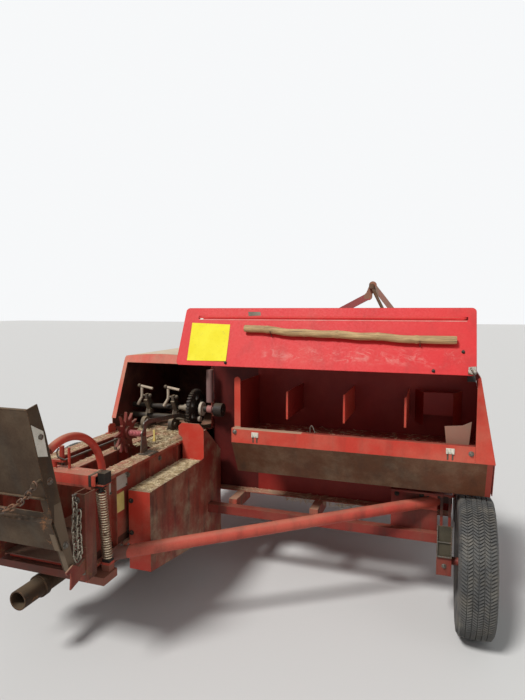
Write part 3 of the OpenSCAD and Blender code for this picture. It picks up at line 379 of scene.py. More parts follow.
paint("shaft_iron", (0.024, 0.019, 0.016), (0.055, 0.044, 0.034), 0.7, 0.9, 0.25, 0.15, 0.5, 0.5,
      spots=((96, 200, 900, 203, 300, 1040, (0.34, 0.28, 0.20)), (248, 150, 900, 274, 350, 1040, (0.62, 0.54, 0.42)),
             (296, 200, 900, 336, 300, 1040, (0.42, 0.17, 0.15))))
paint("knotter_iron", (0.055, 0.042, 0.031), (0.16, 0.125, 0.09), 0.9, 0.8, 0.30, 0.6, 0.6, 0.5, 0.6)
paint("lever_iron", (0.44, 0.35, 0.26), (0.62, 0.52, 0.40), 0.9, 0.6, 0.20, 0.5, 0.5, 0.5)
paint("spike_paint", (0.13, 0.010, 0.010), (0.24, 0.034, 0.024), 0.6, 0.8, 0.45, 0.20, 0.8)
paint("pink_paint", (0.62, 0.11, 0.13), (0.66, 0.24, 0.25), 0.7, 0.4, 0.10, 0.2, 0.5)
paint("cap_black", (0.010, 0.009, 0.008), (0.026, 0.023, 0.020), 0.6, 0.5, 0.05, 0.35, 0.3, 0.5)
paint("olive_iron", (0.030, 0.026, 0.016), (0.058, 0.050, 0.032), 0.8, 0.7, 0.30, 0.3, 0.8)
paint("rim_paint", (0.42, 0.36, 0.26), (0.50, 0.44, 0.34), 0.6, 0.6, 0.6, 0.6, 0.8)
print("paints mixed")

# %% [markdown]
# Steel that rubs stays bright, so the jack and the bolts get metal where it is worn and brown rust in the hollows.


# %% Bare steel
def worn_steel(name, bright, dull, rust):
    """Rubbed steel: metal on the high places and rust in between."""
    m = Layers(name)
    cloud = m.noise(22, 7, 0.7, twist=0.6)
    grain = m.noise(160, 3)
    coarse = m.span(grain, 0.3, 0.7)
    brown = m.span(cloud, 0.62 - 0.25 * rust, 0.72 - 0.20 * rust)
    colour = m.mix(brown, m.mix(coarse, bright, dull), m.mix(coarse, RUST_DARK, RUST_LIGHT))
    m.bump(m.plus(m.times(grain, 0.3), m.times(cloud, 0.5)), 0.3, 0.001, rounding=0.002)
    m.finish(colour, m.plus(m.span(grain, 0.2, 0.8, 0.32, 0.45), m.times(brown, 0.4)),
             m.span(brown, 0.0, 1.0, 0.85, 0.0))


worn_steel("bolt_steel", (0.24, 0.22, 0.19), (0.12, 0.105, 0.085), 0.50)
worn_steel("spring_steel", (0.60, 0.49, 0.35), (0.32, 0.23, 0.15), 0.30)
worn_steel("chain_steel", (0.13, 0.10, 0.08), (0.07, 0.05, 0.04), 0.70)
worn_steel("dusty_chain", (0.42, 0.37, 0.29), (0.25, 0.21, 0.16), 0.25)
worn_steel("old_steel", (0.22, 0.20, 0.165), (0.12, 0.105, 0.085), 0.40)
worn_steel("jack_steel", (0.45, 0.43, 0.40), (0.28, 0.26, 0.23), 0.3)
print("steels mixed")

# %% [markdown]
# Tyre rubber isn't black: it greys in the sun, and field dust lies on it in patches.

# %% Rubber
m = Layers("tyre_rubber_finish")
cloud = m.noise(6, 6, 0.65)
colour = m.mix(m.span(cloud, 0.35, 0.7), (0.040, 0.040, 0.040), (0.100, 0.098, 0.092))
field_dust = m.times(m.span(m.noise(13, 8, 0.7, shift=(2, 2, 2)), 0.40, 0.72), 0.45)
colour = m.mix(field_dust, colour, (0.22, 0.19, 0.145))
m.bump(m.plus(m.times(m.noise(210, 3), 0.25), m.times(cloud, 0.3)), 0.35, 0.0012)
m.finish(colour, m.span(cloud, 0.3, 0.7, 0.70, 0.88))
print("rubber mixed")

# %% Dress the CAD nodes
WEARS = {
    "lid_paint": "lid_shell",
    "box_paint": "box_shell box_rail box_side box_dividers",
    "guard_paint": "needle_guard",
    "post_paint": "end_plates",
    "tube_paint": "knotter_post",
    "stay_paint": "stay_bar",
    "under_paint": "axle_beam axle_legs",
    "hood_paint": "knotter_hood crank_cover feed_cover",
    "beam_paint": "density_beams",
    "frame_paint": "density_cranks rear_hoop front_frame flywheel flywheel_guard drawbar windguard pickup_frame "
                   "pickup_bands",
    "link_paint": "feeder_arm",
    "chamber_paint": "chamber_wall_left chamber_wall_right chamber_wall_front chamber_floor chamber_top feed_table",
    "brown_panel": "under_panel",
    "chute_steel": "chute_tray hitch_tube",
    "old_steel": "trip_arm star_bracket",
    "rusty_iron": "needle_yoke feeder_fork pickup_reel hitch_eye",
    "knotter_iron": "knotter_left knotter_right",
    "shaft_iron": "knotter_shaft",
    "dark_iron": "gearbox plunger",
    "spike_paint": "star_wheel",
    "rim_paint": "rim_right rim_left gauge_rim",
    "spring_steel": "density_springs",
    "chain_steel": "chute_chain",
    "jack_steel": "jack_leg",
    "tyre_rubber_finish": "tyre_right tyre_left gauge_tyre",
}


def dress(piece, look):
    piece.data.materials.clear()
    piece.data.materials.append(LOOKS[look])


for look, names in WEARS.items():
    for name in names.split():
        dress(nodes[name], look)
print("dressed", sum(len(names.split()) for names in WEARS.values()), "nodes")

# %% [markdown]
# ## Helpers for pieces
# Thin plates, bent rods and pressed strips are written as meshes. One small class collects closed forms, and one
# function makes the object and lets it ride on its body.


# %% Mesh kit
class Form:
    """Collects closed forms in one bmesh. Places are vectors in metres or triples in millimetres."""

    def __init__(self):
        self.mesh = bmesh.new()

    def row(self, places):
        return [self.mesh.verts.new(spot(p)) for p in places]

    def join(self, a, b, closed=True):
        """Quads between two rows of vertices."""
        for k in range(len(a) if closed else len(a) - 1):
            j = (k + 1) % len(a)
            self.mesh.faces.new((a[k], a[j], b[j], b[k]))

    def prism(self, outline, lift):
        """A flat outline, thickened by the vector lift in metres."""
        outline = [spot(p) for p in outline]
        low = self.row(outline)
        high = self.row([p + Vector(lift) for p in outline])
        self.mesh.faces.new(low)
        self.mesh.faces.new(high[::-1])
        self.join(high, low)
        return self

    def brick(self, *corners):
        """A block between two opposite corners, given as six millimetres."""
        (x0, x1), (y0, y1), (z0, z1) = map(sorted, zip(at(*corners[:3]), at(*corners[3:])))
        outline = [Vector((x, y, z0)) for x, y in ((x0, y0), (x1, y0), (x1, y1), (x0, y1))]
        return self.prism(outline, (0, 0, z1 - z0))

    def tube(self, path, radius, sides=10):
        """A round rod along a path, with closed ends; radius may be a function of the step and the angle."""
        path = [spot(p) for p in path]
        side = None
        rings = []
        for i, point in enumerate(path):
            way = (path[min(i + 1, len(path) - 1)] - path[max(i - 1, 0)]).normalized()
            if side is None:
                side = way.orthogonal().normalized()
            side = (side - way * side.dot(way)).normalized()
            other = way.cross(side)
            ring = []
            for turn in (2 * pi * k / sides for k in range(sides)):
                r = radius(i, turn) if callable(radius) else radius
                ring.append(point + (side * cos(turn) + other * sin(turn)) * r)
            rings.append(self.row(ring))
        for a, b in zip(rings, rings[1:]):
            self.join(a, b)
        self.mesh.faces.new(rings[0][::-1])
        self.mesh.faces.new(rings[-1])
        return self

    def grid(self, rows, around=False, ends=False):
        """Quads through closed rows of places; around joins the last row to the first, ends closes both."""
        rows = [self.row(places) for places in rows]
        for a, b in zip(rows, rows[1:] + rows[:1] if around else rows[1:]):
            self.join(a, b)
        if ends:
            self.mesh.faces.new(rows[0])
            self.mesh.faces.new(rows[-1])
        return self

    def make(self, name, look, slot="red_paint", body="root", smooth=30, node=None):
        bmesh.ops.recalc_face_normals(self.mesh, faces=self.mesh.faces)
        data = bpy.data.meshes.new(name)
        self.mesh.to_mesh(data)
        self.mesh.free()
        return settle(name, data, look, body, smooth, node)


def settle(name, data, look, body, smooth, node=None):
    """Makes a mesh an object at the origin, dresses it and lets it ride on its body, instead of a node if given."""
    piece = new_object(name, data)
    if look:
        dress(piece, look)
    data.shade_smooth()
    data.set_sharp_from_angle(angle=radians(smooth))
    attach(piece, body)
    if node:
        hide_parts(node)
    return piece


print("mesh kit ready")

# %% [markdown]
# The lid and the chute lean, and their details are easiest to place in their own upright drawing: the lid as if shut,
# the chute as if it stood straight. Two helpers turn such a place by the lean about the hinge.

# %% Places on the lid and on the chute
LID_OPEN = radians(25)
LID_HINGE = (610, 1245)
LID_FACE = -124
CHUTE_LEAN = radians(13.4)
CHUTE_HINGE = (-1005, 520)
CHUTE_BACK = -53


def on_lid(x, out, z):
    """x and z on the shut lid's rear face; out is the height above its paint."""
    dy = LID_FACE - out - LID_HINGE[0]
    dz = z - LID_HINGE[1]
    return at(x, LID_HINGE[0] + dy * cos(LID_OPEN) + dz * sin(LID_OPEN),
              LID_HINGE[1] - dy * sin(LID_OPEN) + dz * cos(LID_OPEN))


def on_chute(x, back, z):
    """x, depth (towards the drawbar) and height along the chute, in its own upright drawing."""
    return at(x, CHUTE_HINGE[0] - z * sin(CHUTE_LEAN) + back * cos(CHUTE_LEAN),
              CHUTE_HINGE[1] + z * cos(CHUTE_LEAN) + back * sin(CHUTE_LEAN))


print("lid foot at", tuple(round(v, 3) for v in on_lid(300, 0, 978)))

# %% [markdown]
# ## A kit for Geometry Nodes
# Bolts, coils, links and straws repeat, so each is one small shape that a node tree copies. The tree runs on a
# carrier mesh, and the result is kept as a plain mesh, because an exported model can't hold instances.


# %% Geometry kit
class Grower(Kit):
    """One Geometry Nodes tree with named inputs. A value that is an input's name links that input."""

    def __init__(self, name, **sizes):
        super().__init__(bpy.data.node_groups.new(name, "GeometryNodeTree"), "GeometryNode")
        face = self.tree.interface
        face.new_socket("Geometry", in_out="INPUT", socket_type="NodeSocketGeometry")
        self.keys = {}
        for label, value in sizes.items():
            kind = "NodeSocketInt" if isinstance(value, int) else "NodeSocketFloat"
            socket = face.new_socket(label, in_out="INPUT", socket_type=kind)
            socket.default_value = value
            self.keys[label] = socket.identifier
        face.new_socket("Geometry", in_out="OUTPUT", socket_type="NodeSocketGeometry")
        self.given = self.tree.nodes.new("NodeGroupInput").outputs
        self.out = self.tree.nodes.new("NodeGroupOutput")

    def feed(self, socket, value):
        named = isinstance(value, str) and value in self.given
        super().feed(socket, self.given[value] if named else value)

    def add(self, kind, inputs=None, **settings):
        """A node, given back as its first output."""
        return self.node(kind, inputs, **settings).outputs[0]

    def xyz(self, x=0.0, y=0.0, z=0.0):
        return self.add("ShaderNodeCombineXYZ", {0: x, 1: y, 2: z})

    def close(self, geometry, look):
        """Ends the tree: instances become mesh and get their material."""
        real = self.add("RealizeInstances", {"Geometry": geometry})
        done = self.add("SetMaterial", {"Geometry": real, "Material": LOOKS[look]})
        self.tree.links.new(done, self.out.inputs[0])

    def copy(self, shape, look):
        """Ends the tree with a copy of a shape on each of the carrier's points, with the point's own turn."""
        turn = self.add("InputNamedAttribute", {"Name": "turn"}, data_type="FLOAT_VECTOR")
        self.close(self.add("InstanceOnPoints", {"Points": "Geometry", "Instance": shape, "Rotation": turn}), look)

    def run(self, name, carrier, body, slot, smooth=35, look=None, node=None, **sizes):
        """Grows the tree on a carrier mesh and keeps the plain result."""
        holder = new_object(name + "_carrier", carrier)
        modifier = holder.modifiers.new("grow", "NODES")
        modifier.node_group = self.tree
        for label, value in sizes.items():
            modifier[self.keys[label]] = value
        graph = bpy.context.evaluated_depsgraph_get()
        data = bpy.data.meshes.new_from_object(holder.evaluated_get(graph))
        bpy.data.objects.remove(holder)
        data.name = name
        print("grew", name, "with", len(data.polygons), "faces")
        return settle(name, data, look, body, smooth, node)


def points(places):
    """A carrier mesh of loose points from pairs of a place and its turn in radians."""
    data = bpy.data.meshes.new("carrier")
    data.from_pydata([tuple(spot(p)) for p, _ in places], [], [])
    turn = data.attributes.new("turn", "FLOAT_VECTOR", "POINT")
    for i, (_, value) in enumerate(places):
        turn.data[i].vector = value
    return data


print("node kit ready")

# %% [markdown]
# ## Bolts
# A bolt is a washer, a six-sided head and a little of its shank. The tree makes it once, upright, and puts a copy on
# each point with the point's own turn.

# %% Bolts
bolts = Grower("bolts", Head=0.011, Height=0.009, Washer=0.015)
washer = bolts.add("MeshCylinder", {"Vertices": 18, "Radius": "Washer", "Depth": 0.0025})
head = bolts.add("MeshCylinder", {"Vertices": 6, "Radius": "Head", "Depth": "Height"})
half_up = bolts.add("ShaderNodeMath", {0: "Height", 1: 0.5}, operation="MULTIPLY")
head = bolts.add("Transform", {"Geometry": head, "Translation": bolts.xyz(z=half_up)})
shank = bolts.add("MeshCylinder", {"Vertices": 10, "Radius": 0.0055, "Depth": 0.006})
shank = bolts.add("Transform", {"Geometry": shank, "Translation": bolts.xyz(z="Height")})
together = bolts.node("JoinGeometry")
for part in (washer, head, shank):
    bolts.tree.links.new(part, together.inputs[0])
bolts.copy(together.outputs[0], "bolt_steel")

REAR = (radians(90), 0, 0)
RIGHT = (0, radians(90), 0)
LEFT = (0, radians(-90), 0)
ON_LID = (radians(90) - LID_OPEN, 0, 0)
SMALL = {"Head": 0.009, "Washer": 0.013}


def bolt_set(name, body, turn, places, look=None, **sizes):
    """Bolts that look one way; with turn None each place is a pair with its own turn."""
    pairs = [(p, turn) for p in places] if turn else places
    bolts.run(name, points(pairs), body, "bare_steel", look=look, **sizes)


def both_sides(places, drawing=at):
    """The same places on the left and the right of the machine's middle, turned outwards."""
    return [(drawing(s * x, y, z), RIGHT if s > 0 else LEFT) for s in (-1, 1) for x, y, z in places]


WALL_Z = (520, 800)
bolt_set("rail_bolts", "root", REAR, [(634, -126, 950), (1840, -126, 935)], **SMALL)
bolt_set("post_bolts", "root", REAR, [(s * x, -950, z) for s in (-1, 1) for x, z in
                                      ((246, 812), (246, 726), (266, 500), (244, 490))])
bolt_set("wall_bolts", "root", None, both_sides([(236, y, z) for y in (-842, -560, -250) for z in WALL_Z]) +
         [((-236, y, z), LEFT) for y in (60, 900, 1200, 1550, 1850) for z in WALL_Z])
bolt_set("leg_bolts", "root", REAR, [(1733, -50, 331)], Head=0.008, Washer=0.012)
bolt_set("plate_bolts", "root", REAR, [(1487, 100, 625), (1647, 100, 625), (1616, 94, 630)], "cap_black", **SMALL)
bolt_set("stay_bolts", "root", RIGHT, [(271, y, z) for y in (-764, -676) for z in (456, 490)])
bolt_set("guard_bolts", "root", REAR, [(280, -600, 688), (280, -600, 528)], "cap_black", **SMALL)
bolt_set("beam_bolts", "root", REAR, [(x, -880, 873) for x in (-262, -190, 0)])
bolt_set("lid_bolts", "lid", ON_LID, [on_lid(596, 0, 998), on_lid(1660, 0, 994), on_lid(1791, 0, 1094)], "cap_black",
         Head=0.006, Washer=0.0085)
bolt_set("chute_bolts", "chute", None, both_sides([(265, -20, 450), (265, -20, 640), (265, -12, 150)], on_chute))
bolt_set("hitch_bolts", "root", REAR, [(x, 1919.5, z) for x in (-190, 30) for z in (340, 440)])

# %% [markdown]
# Wheel nuts sit on a circle round each hub, and the hub ends in a domed grease cap.

# %% Wheel nuts and caps
RIGHT_HUB, LEFT_HUB, GAUGE_HUB = (1876, 0, 341), (-440, 0, 380), (1862, 1350, 216)
DISC = 4
BIG_NUT, SMALL_NUT = {"Head": 0.012, "Washer": 0.015}, {"Head": 0.008, "Washer": 0.010}
for body, (x, y, z), side, ring, nut in (("wheel_right", RIGHT_HUB, 1, 0.082, BIG_NUT),
                                         ("wheel_left", LEFT_HUB, -1, 0.090, BIG_NUT),
                                         ("gauge_wheel", GAUGE_HUB, 1, 0.058, SMALL_NUT)):
    bolt_set(body + "_nuts", body, RIGHT if side > 0 else LEFT,
             [at(x + side * DISC, y, z) + ray(radians(72 * i + 18)) * ring for i in range(5)], **nut)

CAP_PROFILE = ((0.002, 1.0), (0.30, 1.0), (0.55, 0.96), (0.72, 0.86), (0.86, 0.62), (0.92, 0.30), (1.0, 0.22),
               (1.08, 0.20), (1.10, 0.0), (0.002, 0.0))
TURNS = [2 * pi * k / 32 for k in range(32)]
for name, body, (x, y, z), out_by, radius, depth in (("cap_right", "wheel_right", RIGHT_HUB, 21, 34, 26),
                                                     ("cap_left", "wheel_left", LEFT_HUB, -21, 36, -26),
                                                     ("cap_gauge", "gauge_wheel", GAUGE_HUB, 44, 22, 14)):
    cap = Form().grid([[at(x + out_by + along * depth, y, z) + ray(t) * out * radius * MM for t in TURNS]
                       for out, along in CAP_PROFILE], around=True)
    cap.make(name, "rim_paint", "wheel_rim", body)
print("hubs done")

# %% [markdown]
# ## Tyres
# The big tyres have a fishbone tread: one row of points that runs in a zigzag across the crown, copied round the wheel
# at two heights, makes all the bars, and narrow grooves at the folds part them into blocks. The small tyre has plain
# ribs whose edges swing to and fro. The sidewall bulges and then tucks in to the rim.


# %% Tread and sidewall
def tyre(name, node, body, hub, half, radius, rim, rows, smooth):
    """Closes each row (angle, crown points, notch) with sidewalls and an inner face, and turns it round the axle.
    A crown point is (angle, distance from the middle, depth); the crown bends down towards its shoulders."""
    deep = radius - rim
    placed = []
    for angle, crown, notch in rows:
        wall = [(half * 0.90, radius * 0.018 + notch), (half * 0.975, radius * 0.055 + notch), (half, radius * 0.115),
                (half, radius * 0.20), (half * 0.985, deep * 0.50), (half * 0.93, deep * 0.72),
                (half * 0.80, deep * 0.88), (half * 0.70, deep * 0.95), (half * 0.66, deep)]
        line = []
        for turn, u, drop in ([(angle, -u, d) for u, d in wall[::-1]] + crown + [(angle, u, d) for u, d in wall] +
                              [(angle, half * 0.3, deep), (angle, -half * 0.3, deep)]):
            bend = 0.0095 * (u / half) ** 2 if drop < 0.02 else 0.0
            line.append(at(*hub) + Vector((u, 0, 0)) + ray(turn) * (radius - drop - bend))
        placed.append(line)
    Form().grid(placed, around=True).make(name, "tyre_rubber_finish", "tyre_rubber", body, smooth, node)


def fishbone_tyre(name, node, body, hub, radius, width, rim, bars, folds, deep=0.008, groove=0.0022):
    crown = width / 2 * 0.84
    sweep = 2 * crown / folds * 0.62 / radius
    rows = []
    for bar in range(bars):
        for share, drop in ((0.0, 0.0), (0.50, 0.0), (0.57, deep), (0.93, deep)):
            angle = (bar + share) * (2 * pi / bars)
            across = [(angle, -crown, drop)]
            for fold in range(1, folds):
                u = -crown + 2 * crown * fold / folds
                turned = angle + sweep * (fold % 2)
                across += [(turned, u - groove, drop), (turned, u - groove * 0.5, deep),
                           (turned, u + groove * 0.5, deep), (turned, u + groove, drop)]
            rows.append((angle, across + [(angle, crown, drop)], drop * 0.6))
    tyre(name, node, body, hub, width / 2, radius, rim, rows, 34)


def ribbed_tyre(name, node, body, hub, radius, width, rim, ribs, steps, deep=0.006, swing=0.003):
    crown = width / 2 * 0.80
    pitch = 2 * crown / ribs
    groove = pitch * 0.24
    rows = []
    for i in range(steps):
        angle = 2 * pi * i / steps
        zig = swing if i % 2 else -swing
        across = []
        for k in range(ribs):
            a = -crown + k * pitch + (groove / 2 + zig if k else 0)
            b = -crown + (k + 1) * pitch - (groove / 2 - zig if k < ribs - 1 else 0)
            across += [(angle, a, 0.0), (angle, b, 0.0)]
            if k < ribs - 1:
                across += [(angle, b + groove * 0.22, deep), (angle, b + groove * 0.78, deep)]
        rows.append((angle, across, 0.005 if i % 4 < 2 else 0.0))
    tyre(name, node, body, hub, width / 2, radius, rim, rows, 38)


fishbone_tyre("tread_right", "tyre_right", "wheel_right", RIGHT_HUB, 0.341, 0.170, 0.150, 132, 6)
fishbone_tyre("tread_left", "tyre_left", "wheel_left", LEFT_HUB, 0.380, 0.250, 0.192, 140, 8)
ribbed_tyre("tread_gauge", "gauge_tyre", "gauge_wheel", GAUGE_HUB, 0.200, 0.084, 0.100, 3, 96)
print("three tyres made")

# %% [markdown]
# ## Springs
# A tension spring is a wire wound on a leaning axis. The Spiral node with equal radii is exactly that, a round profile
# turns the line into wire, and Transform Geometry leans it to its place. The black blocks above and below hold it.

# %% Coil springs
coil = Grower("coil", Turns=27.0, Radius=0.0205, Length=0.318, Wire=0.0039, Lean=0.0, X=0.0, Y=0.0, Z=0.0)
line = coil.add("CurveSpiral", {"Resolution": 18, "Rotations": "Turns", "Start Radius": "Radius",
                                "End Radius": "Radius", "Height": "Length"})
wire = coil.add("CurvePrimitiveCircle", {"Resolution": 8, "Radius": "Wire"})
wound = coil.add("CurveToMesh", {"Curve": line, "Profile Curve": wire, "Fill Caps": True})
coil.close(coil.add("Transform", {"Geometry": wound, "Translation": coil.xyz("X", "Y", "Z"),
                                  "Rotation": coil.xyz("Lean")}), "spring_steel")
SPRING_X = 291
FOOT_Y, FOOT_Z = -810, 488
TOP_Y, TOP_Z = -850, 848
lean = math.atan2(FOOT_Y - TOP_Y, TOP_Z - FOOT_Z)
for side, label in ((-1, "left"), (1, "right")):
    base = at(side * SPRING_X, FOOT_Y - 20 * sin(lean), FOOT_Z + 20)
    coil.run("coil_" + label, points([(base, (0, 0, 0))]), "root", "rusty_steel", 60, Lean=lean, X=base.x, Y=base.y,
             Z=base.z)
holders = Form()
for side in (-1, 1):
    x = side * SPRING_X
    for y, z, way in ((FOOT_Y, 486, 1), (TOP_Y, 850, -1)):
        holders.brick(x - 19, y - 17, z, x + 19, y + 17, z + way * 12)
        holders.tube([(x, y, z + way * 10), (x, y - 4 * way, z + way * 24), (x + 20, y - 6 * way, z + way * 30)],
                     0.0045)
        holders.tube([(x, y, z + way * 10), (x, y, z + way * 34)], 0.010, 12)
    holders.brick(side * 286, -862, 855.7, side * 322, -814, 906)
holders.make("spring_holders", "cap_black", "rusty_steel", node="density_springs")
print("springs made")

# %% [markdown]
# ## Chain
# The chain hangs in a catenary between two studs on the chute. Each link is a rounded rectangle swept by round wire,
# and every second link is turned a quarter round its own length. A second, shorter chain hangs folded at the post.

# %% Chain links
rng = random.Random(11)
links = Grower("links", Length=0.0388, Width=0.021, Wire=0.0035)
shape = links.add("CurvePrimitiveQuadrilateral", {"Width": "Length", "Height": "Width"})
shape = links.add("FilletCurve", {"Curve": shape, "Count": 5, "Limit Radius": True, "Radius": 0.0104}, mode="POLY")
bar = links.add("CurvePrimitiveCircle", {"Resolution": 8, "Radius": "Wire"})
links.copy(links.add("CurveToMesh", {"Curve": shape, "Profile Curve": bar}), "chain_steel")


def chain(name, body, path, first_turn, look, node=None):
    """Puts one link between each two points of a path and turns every second one."""
    pairs = []
    for i, (a, b) in enumerate(zip(path, path[1:])):
        way = (b - a).normalized()
        side = Vector((0, 1, 0)) if abs(way.y) < 0.9 else Vector((1, 0, 0))
        side = (side - way * side.dot(way)).normalized()
        basis = Matrix((way, side, way.cross(side))).transposed()
        twist = Matrix.Rotation(radians(90 * ((i + first_turn) % 2) + rng.uniform(-5, 5)), 3, "X")
        pairs.append(((a + b) / 2, tuple((basis @ twist).to_euler())))
    links.run(name, points(pairs), body, "chain_steel", 60, look, node)


CHAIN_A = 242
CHAIN_SPAN = 261
CHAIN_TOP = 480
CHAIN_LINKS = 21
half_length = CHAIN_A * math.sinh(CHAIN_SPAN / CHAIN_A)
hang = []
for i in range(CHAIN_LINKS + 1):
    s = -half_length + 2 * half_length * i / CHAIN_LINKS
    hang.append(on_chute(CHAIN_A * math.asinh(s / CHAIN_A), CHUTE_BACK - 32,
                         CHAIN_TOP - math.hypot(CHAIN_A, half_length) + math.hypot(CHAIN_A, s)))
chain("hung_chain", "chute", hang, 1, "chain_steel", "chute_chain")

# %% [markdown]
# ## The pole
# A peeled branch is held along the lid by two wire clips. It isn't a cylinder: it winds a little, thickens at its
# knots and has long flats, so the radius and the middle line both come from slow noise.

# %% Weathered pole
m = Layers("pole_wood_finish")
fibre = m.noise(34, 9, 0.72, stretch=(0.16, 2.4, 2.4), twist=0.6)
cloud = m.noise(5, 4, stretch=(0.5, 1, 1))
crack = m.noise(60, 4, stretch=(0.05, 1.6, 1.6), shift=(4, 0, 2), twist=0.3)
colour = m.mix(m.span(fibre, 0.34, 0.66), (0.26, 0.155, 0.065), (0.56, 0.38, 0.18))
colour = m.mix(m.span(cloud, 0.50, 0.80, 0.0, 0.35), colour, (0.36, 0.28, 0.18))
colour = m.mix(m.span(crack, 0.62, 0.70, 0.0, 0.85), colour, (0.045, 0.026, 0.015))
m.bump(m.less(fibre, m.span(crack, 0.60, 0.70)), 0.7, 0.003)
m.finish(colour, m.span(fibre, 0.3, 0.7, 0.62, 0.85))

POLE_LEFT, POLE_RIGHT = (684, 1193), (1762, 1140)
STEPS = 150
KNOTS = (0.12, 0.31, 0.47, 0.66, 0.83)
axis = []
for i in range(STEPS):
    t = i / (STEPS - 1)
    x, z = (a + (b - a) * t for a, b in zip(POLE_LEFT, POLE_RIGHT))
    wave = noise.noise(Vector((t * 7.0, 3.3, 0.0))) * 13 - 7 * sin(pi * t)
    near = 23 + noise.noise(Vector((t * 5.0, 9.1, 2.0))) * 3
    axis.append(on_lid(x, near, z + wave))


def pole_radius(i, turn):
    t = i / (STEPS - 1)
    r = 19.0 + 1.6 * noise.noise(Vector((t * 11, 0.7, 5.0)))
    for knot in KNOTS:
        r += 2.2 * math.exp(-((t - knot) / 0.008) ** 2)
    if min(t, 1 - t) < 0.004:
        r *= 0.90
    flats = Vector((i * 0.05, cos(turn) * 1.3, sin(turn) * 1.3))
    return r * MM * (1 + 0.045 * noise.noise(flats))


Form().tube(axis, pole_radius, 22).make("pole", "pole_wood_finish", "pole_wood", "lid", 60, "lid_bar")

clips = Form()
lid_out = (on_lid(0, 1, 1000) - on_lid(0, 0, 1000)).normalized()
lid_up = (on_lid(0, 0, 1001) - on_lid(0, 0, 1000)).normalized()
for x in (840, 1600):
    t = (x - POLE_LEFT[0]) / (POLE_RIGHT[0] - POLE_LEFT[0])
    centre = axis[int(t * (STEPS - 1))]
    bend = [centre + (lid_out * cos(a) + lid_up * sin(a)) * 0.0235
            for a in (radians(-118 + 78 * k / 12) for k in range(13))]
    clips.tube([bend[0] - lid_out * 0.013 - lid_up * 0.010] + bend, 0.0022, 8)
clips.make("pole_clips", "chain_steel", "bare_steel", "lid")
print("pole made")

# %% [markdown]
# ## What is on the lid
# The panel has a pressed crease near its top edge, with a pale line under it that is a painted highlight. A blank
# yellow sheet is stuck on its left end and has begun to curl, so it is a small grid whose free corners lift. A worn
# patch, a clamp and a black stop, whose black also stands for the lid's shadow on it, finish it.

# %% Lid details
CREASE = ((-9, 0), (-5, 1.6), (-2, 4.2), (2, 4.6), (5, 2.2), (9, 0), (9, -1.2), (-9, -1.2))
CREASE_STEPS = 60
rows = []
for i in range(CREASE_STEPS + 1):
    rise = min(1.0, min(i, CREASE_STEPS - i) / 3)
    rows.append([on_lid(385 + (1812 - 385) * i / CREASE_STEPS, out * rise + 0.15, 1265 + z) for z, out in CREASE])
Form().grid(rows, ends=True).make("lid_crease", "lid_paint", "red_paint", "lid", 70)


def plain_sheet(name, low, high, rough=0.5, spots=0.9):
    """A blank sheet or plate: one colour that has yellowed in clouds, with dirt at its edges."""
    m = Layers(name)
    m.shader["Specular IOR Level"].default_value = SHEET_SHINE
    cloud = m.noise(11, 6, 0.66)
    stain = m.noise(60, 7, 0.75, twist=0.5)
    colour = m.mix(m.span(cloud, 0.3, 0.7), low, high)
    colour = m.mix(m.times(m.span(stain, 0.56, 0.72), spots), colour, (0.22, 0.16, 0.09))
    colour = m.mix(m.times(m.edges(0.006), 0.35), colour, (0.30, 0.23, 0.13))
    m.bump(m.plus(m.times(cloud, 0.6), m.times(stain, 0.2)), 0.4, 0.0015)
    m.finish(colour, rough)


plain_sheet("yellow_sheet", (0.74, 0.62, 0.010), (0.80, 0.70, 0.030), 0.6, 0.4)
# A pale red for the line under the lid's crease: a painted highlight.
plain_sheet("pale_line", (0.58, 0.13, 0.115), (0.68, 0.24, 0.21), 0.5, 0.3)
plain_sheet("white_plate", (0.60, 0.57, 0.48), (0.74, 0.71, 0.62), 0.4, 0.8)
plain_sheet("grey_plate", (0.36, 0.30, 0.25), (0.48, 0.42, 0.36))
plain_sheet("bare_patch", (0.11, 0.095, 0.07), (0.20, 0.17, 0.125), 0.6)
plain_sheet("faded_yellow", (0.60, 0.44, 0.12), (0.72, 0.58, 0.22))


def quad_sheet(place, corners, thick, steps, curl=0.0):
    """A sheet over four corners (u, v), drawn by place(u, v, height), with its far corner lifted."""
    form = Form()
    shares = [i / steps for i in range(steps + 1)]
    top, low = [], []
    for b in shares:
        up, down = [], []
        for a in shares:
            u, v = ((1 - a) * ((1 - b) * c0 + b * c3) + a * ((1 - b) * c1 + b * c2) for c0, c1, c2, c3 in zip(*corners))
            lift = curl * max(0.0, a + b - 1.35) ** 2 + 0.5 * (1 + noise.noise(Vector((u * 0.02, v * 0.02, 1))))
            up.append(place(u, v, lift + thick))
            down.append(place(u, v, lift))
        top.append(form.row(up))
        low.append(form.row(down))
    for i in range(steps):
        form.join(top[i], top[i + 1], False)
        form.join(low[i + 1], low[i], False)
    rim = [(0, i) for i in range(steps)] + [(j, steps) for j in range(steps)]
    rim += [(steps - j, steps - i) for j, i in rim]
    form.join([top[j][i] for j, i in rim], [low[j][i] for j, i in rim])
    return form


PRESSED = 0.4
PATCH = [(680, 1300), (752, 1299), (757, 1278), (686, 1274)]
sheet = quad_sheet(lambda u, v, h: on_lid(u, h, v), [(352, 1231), (586, 1222), (598, 1006), (364, 1004)], 0.8, 12, 8)
sheet.make("lid_sheet", "yellow_sheet", "red_paint", "lid", 50)
mark = quad_sheet(lambda u, v, h: on_lid(u, h, v), [(398, 1259), (416, 1259), (416, 1251), (398, 1251)], 0.6, 3)
mark.make("lid_mark", "white_plate", "bare_steel", "lid")
patch = quad_sheet(lambda u, v, h: on_lid(u, h * PRESSED, v), PATCH, 0.4, 6)
patch.make("lid_patch", "bare_patch", "red_paint", "lid")


def lid_plate(low, high, outline):
    """A plate on the lid between two heights above its paint."""
    return Form().prism([on_lid(x, low, z) for x, z in outline], on_lid(0, high, 1000) - on_lid(0, low, 1000))


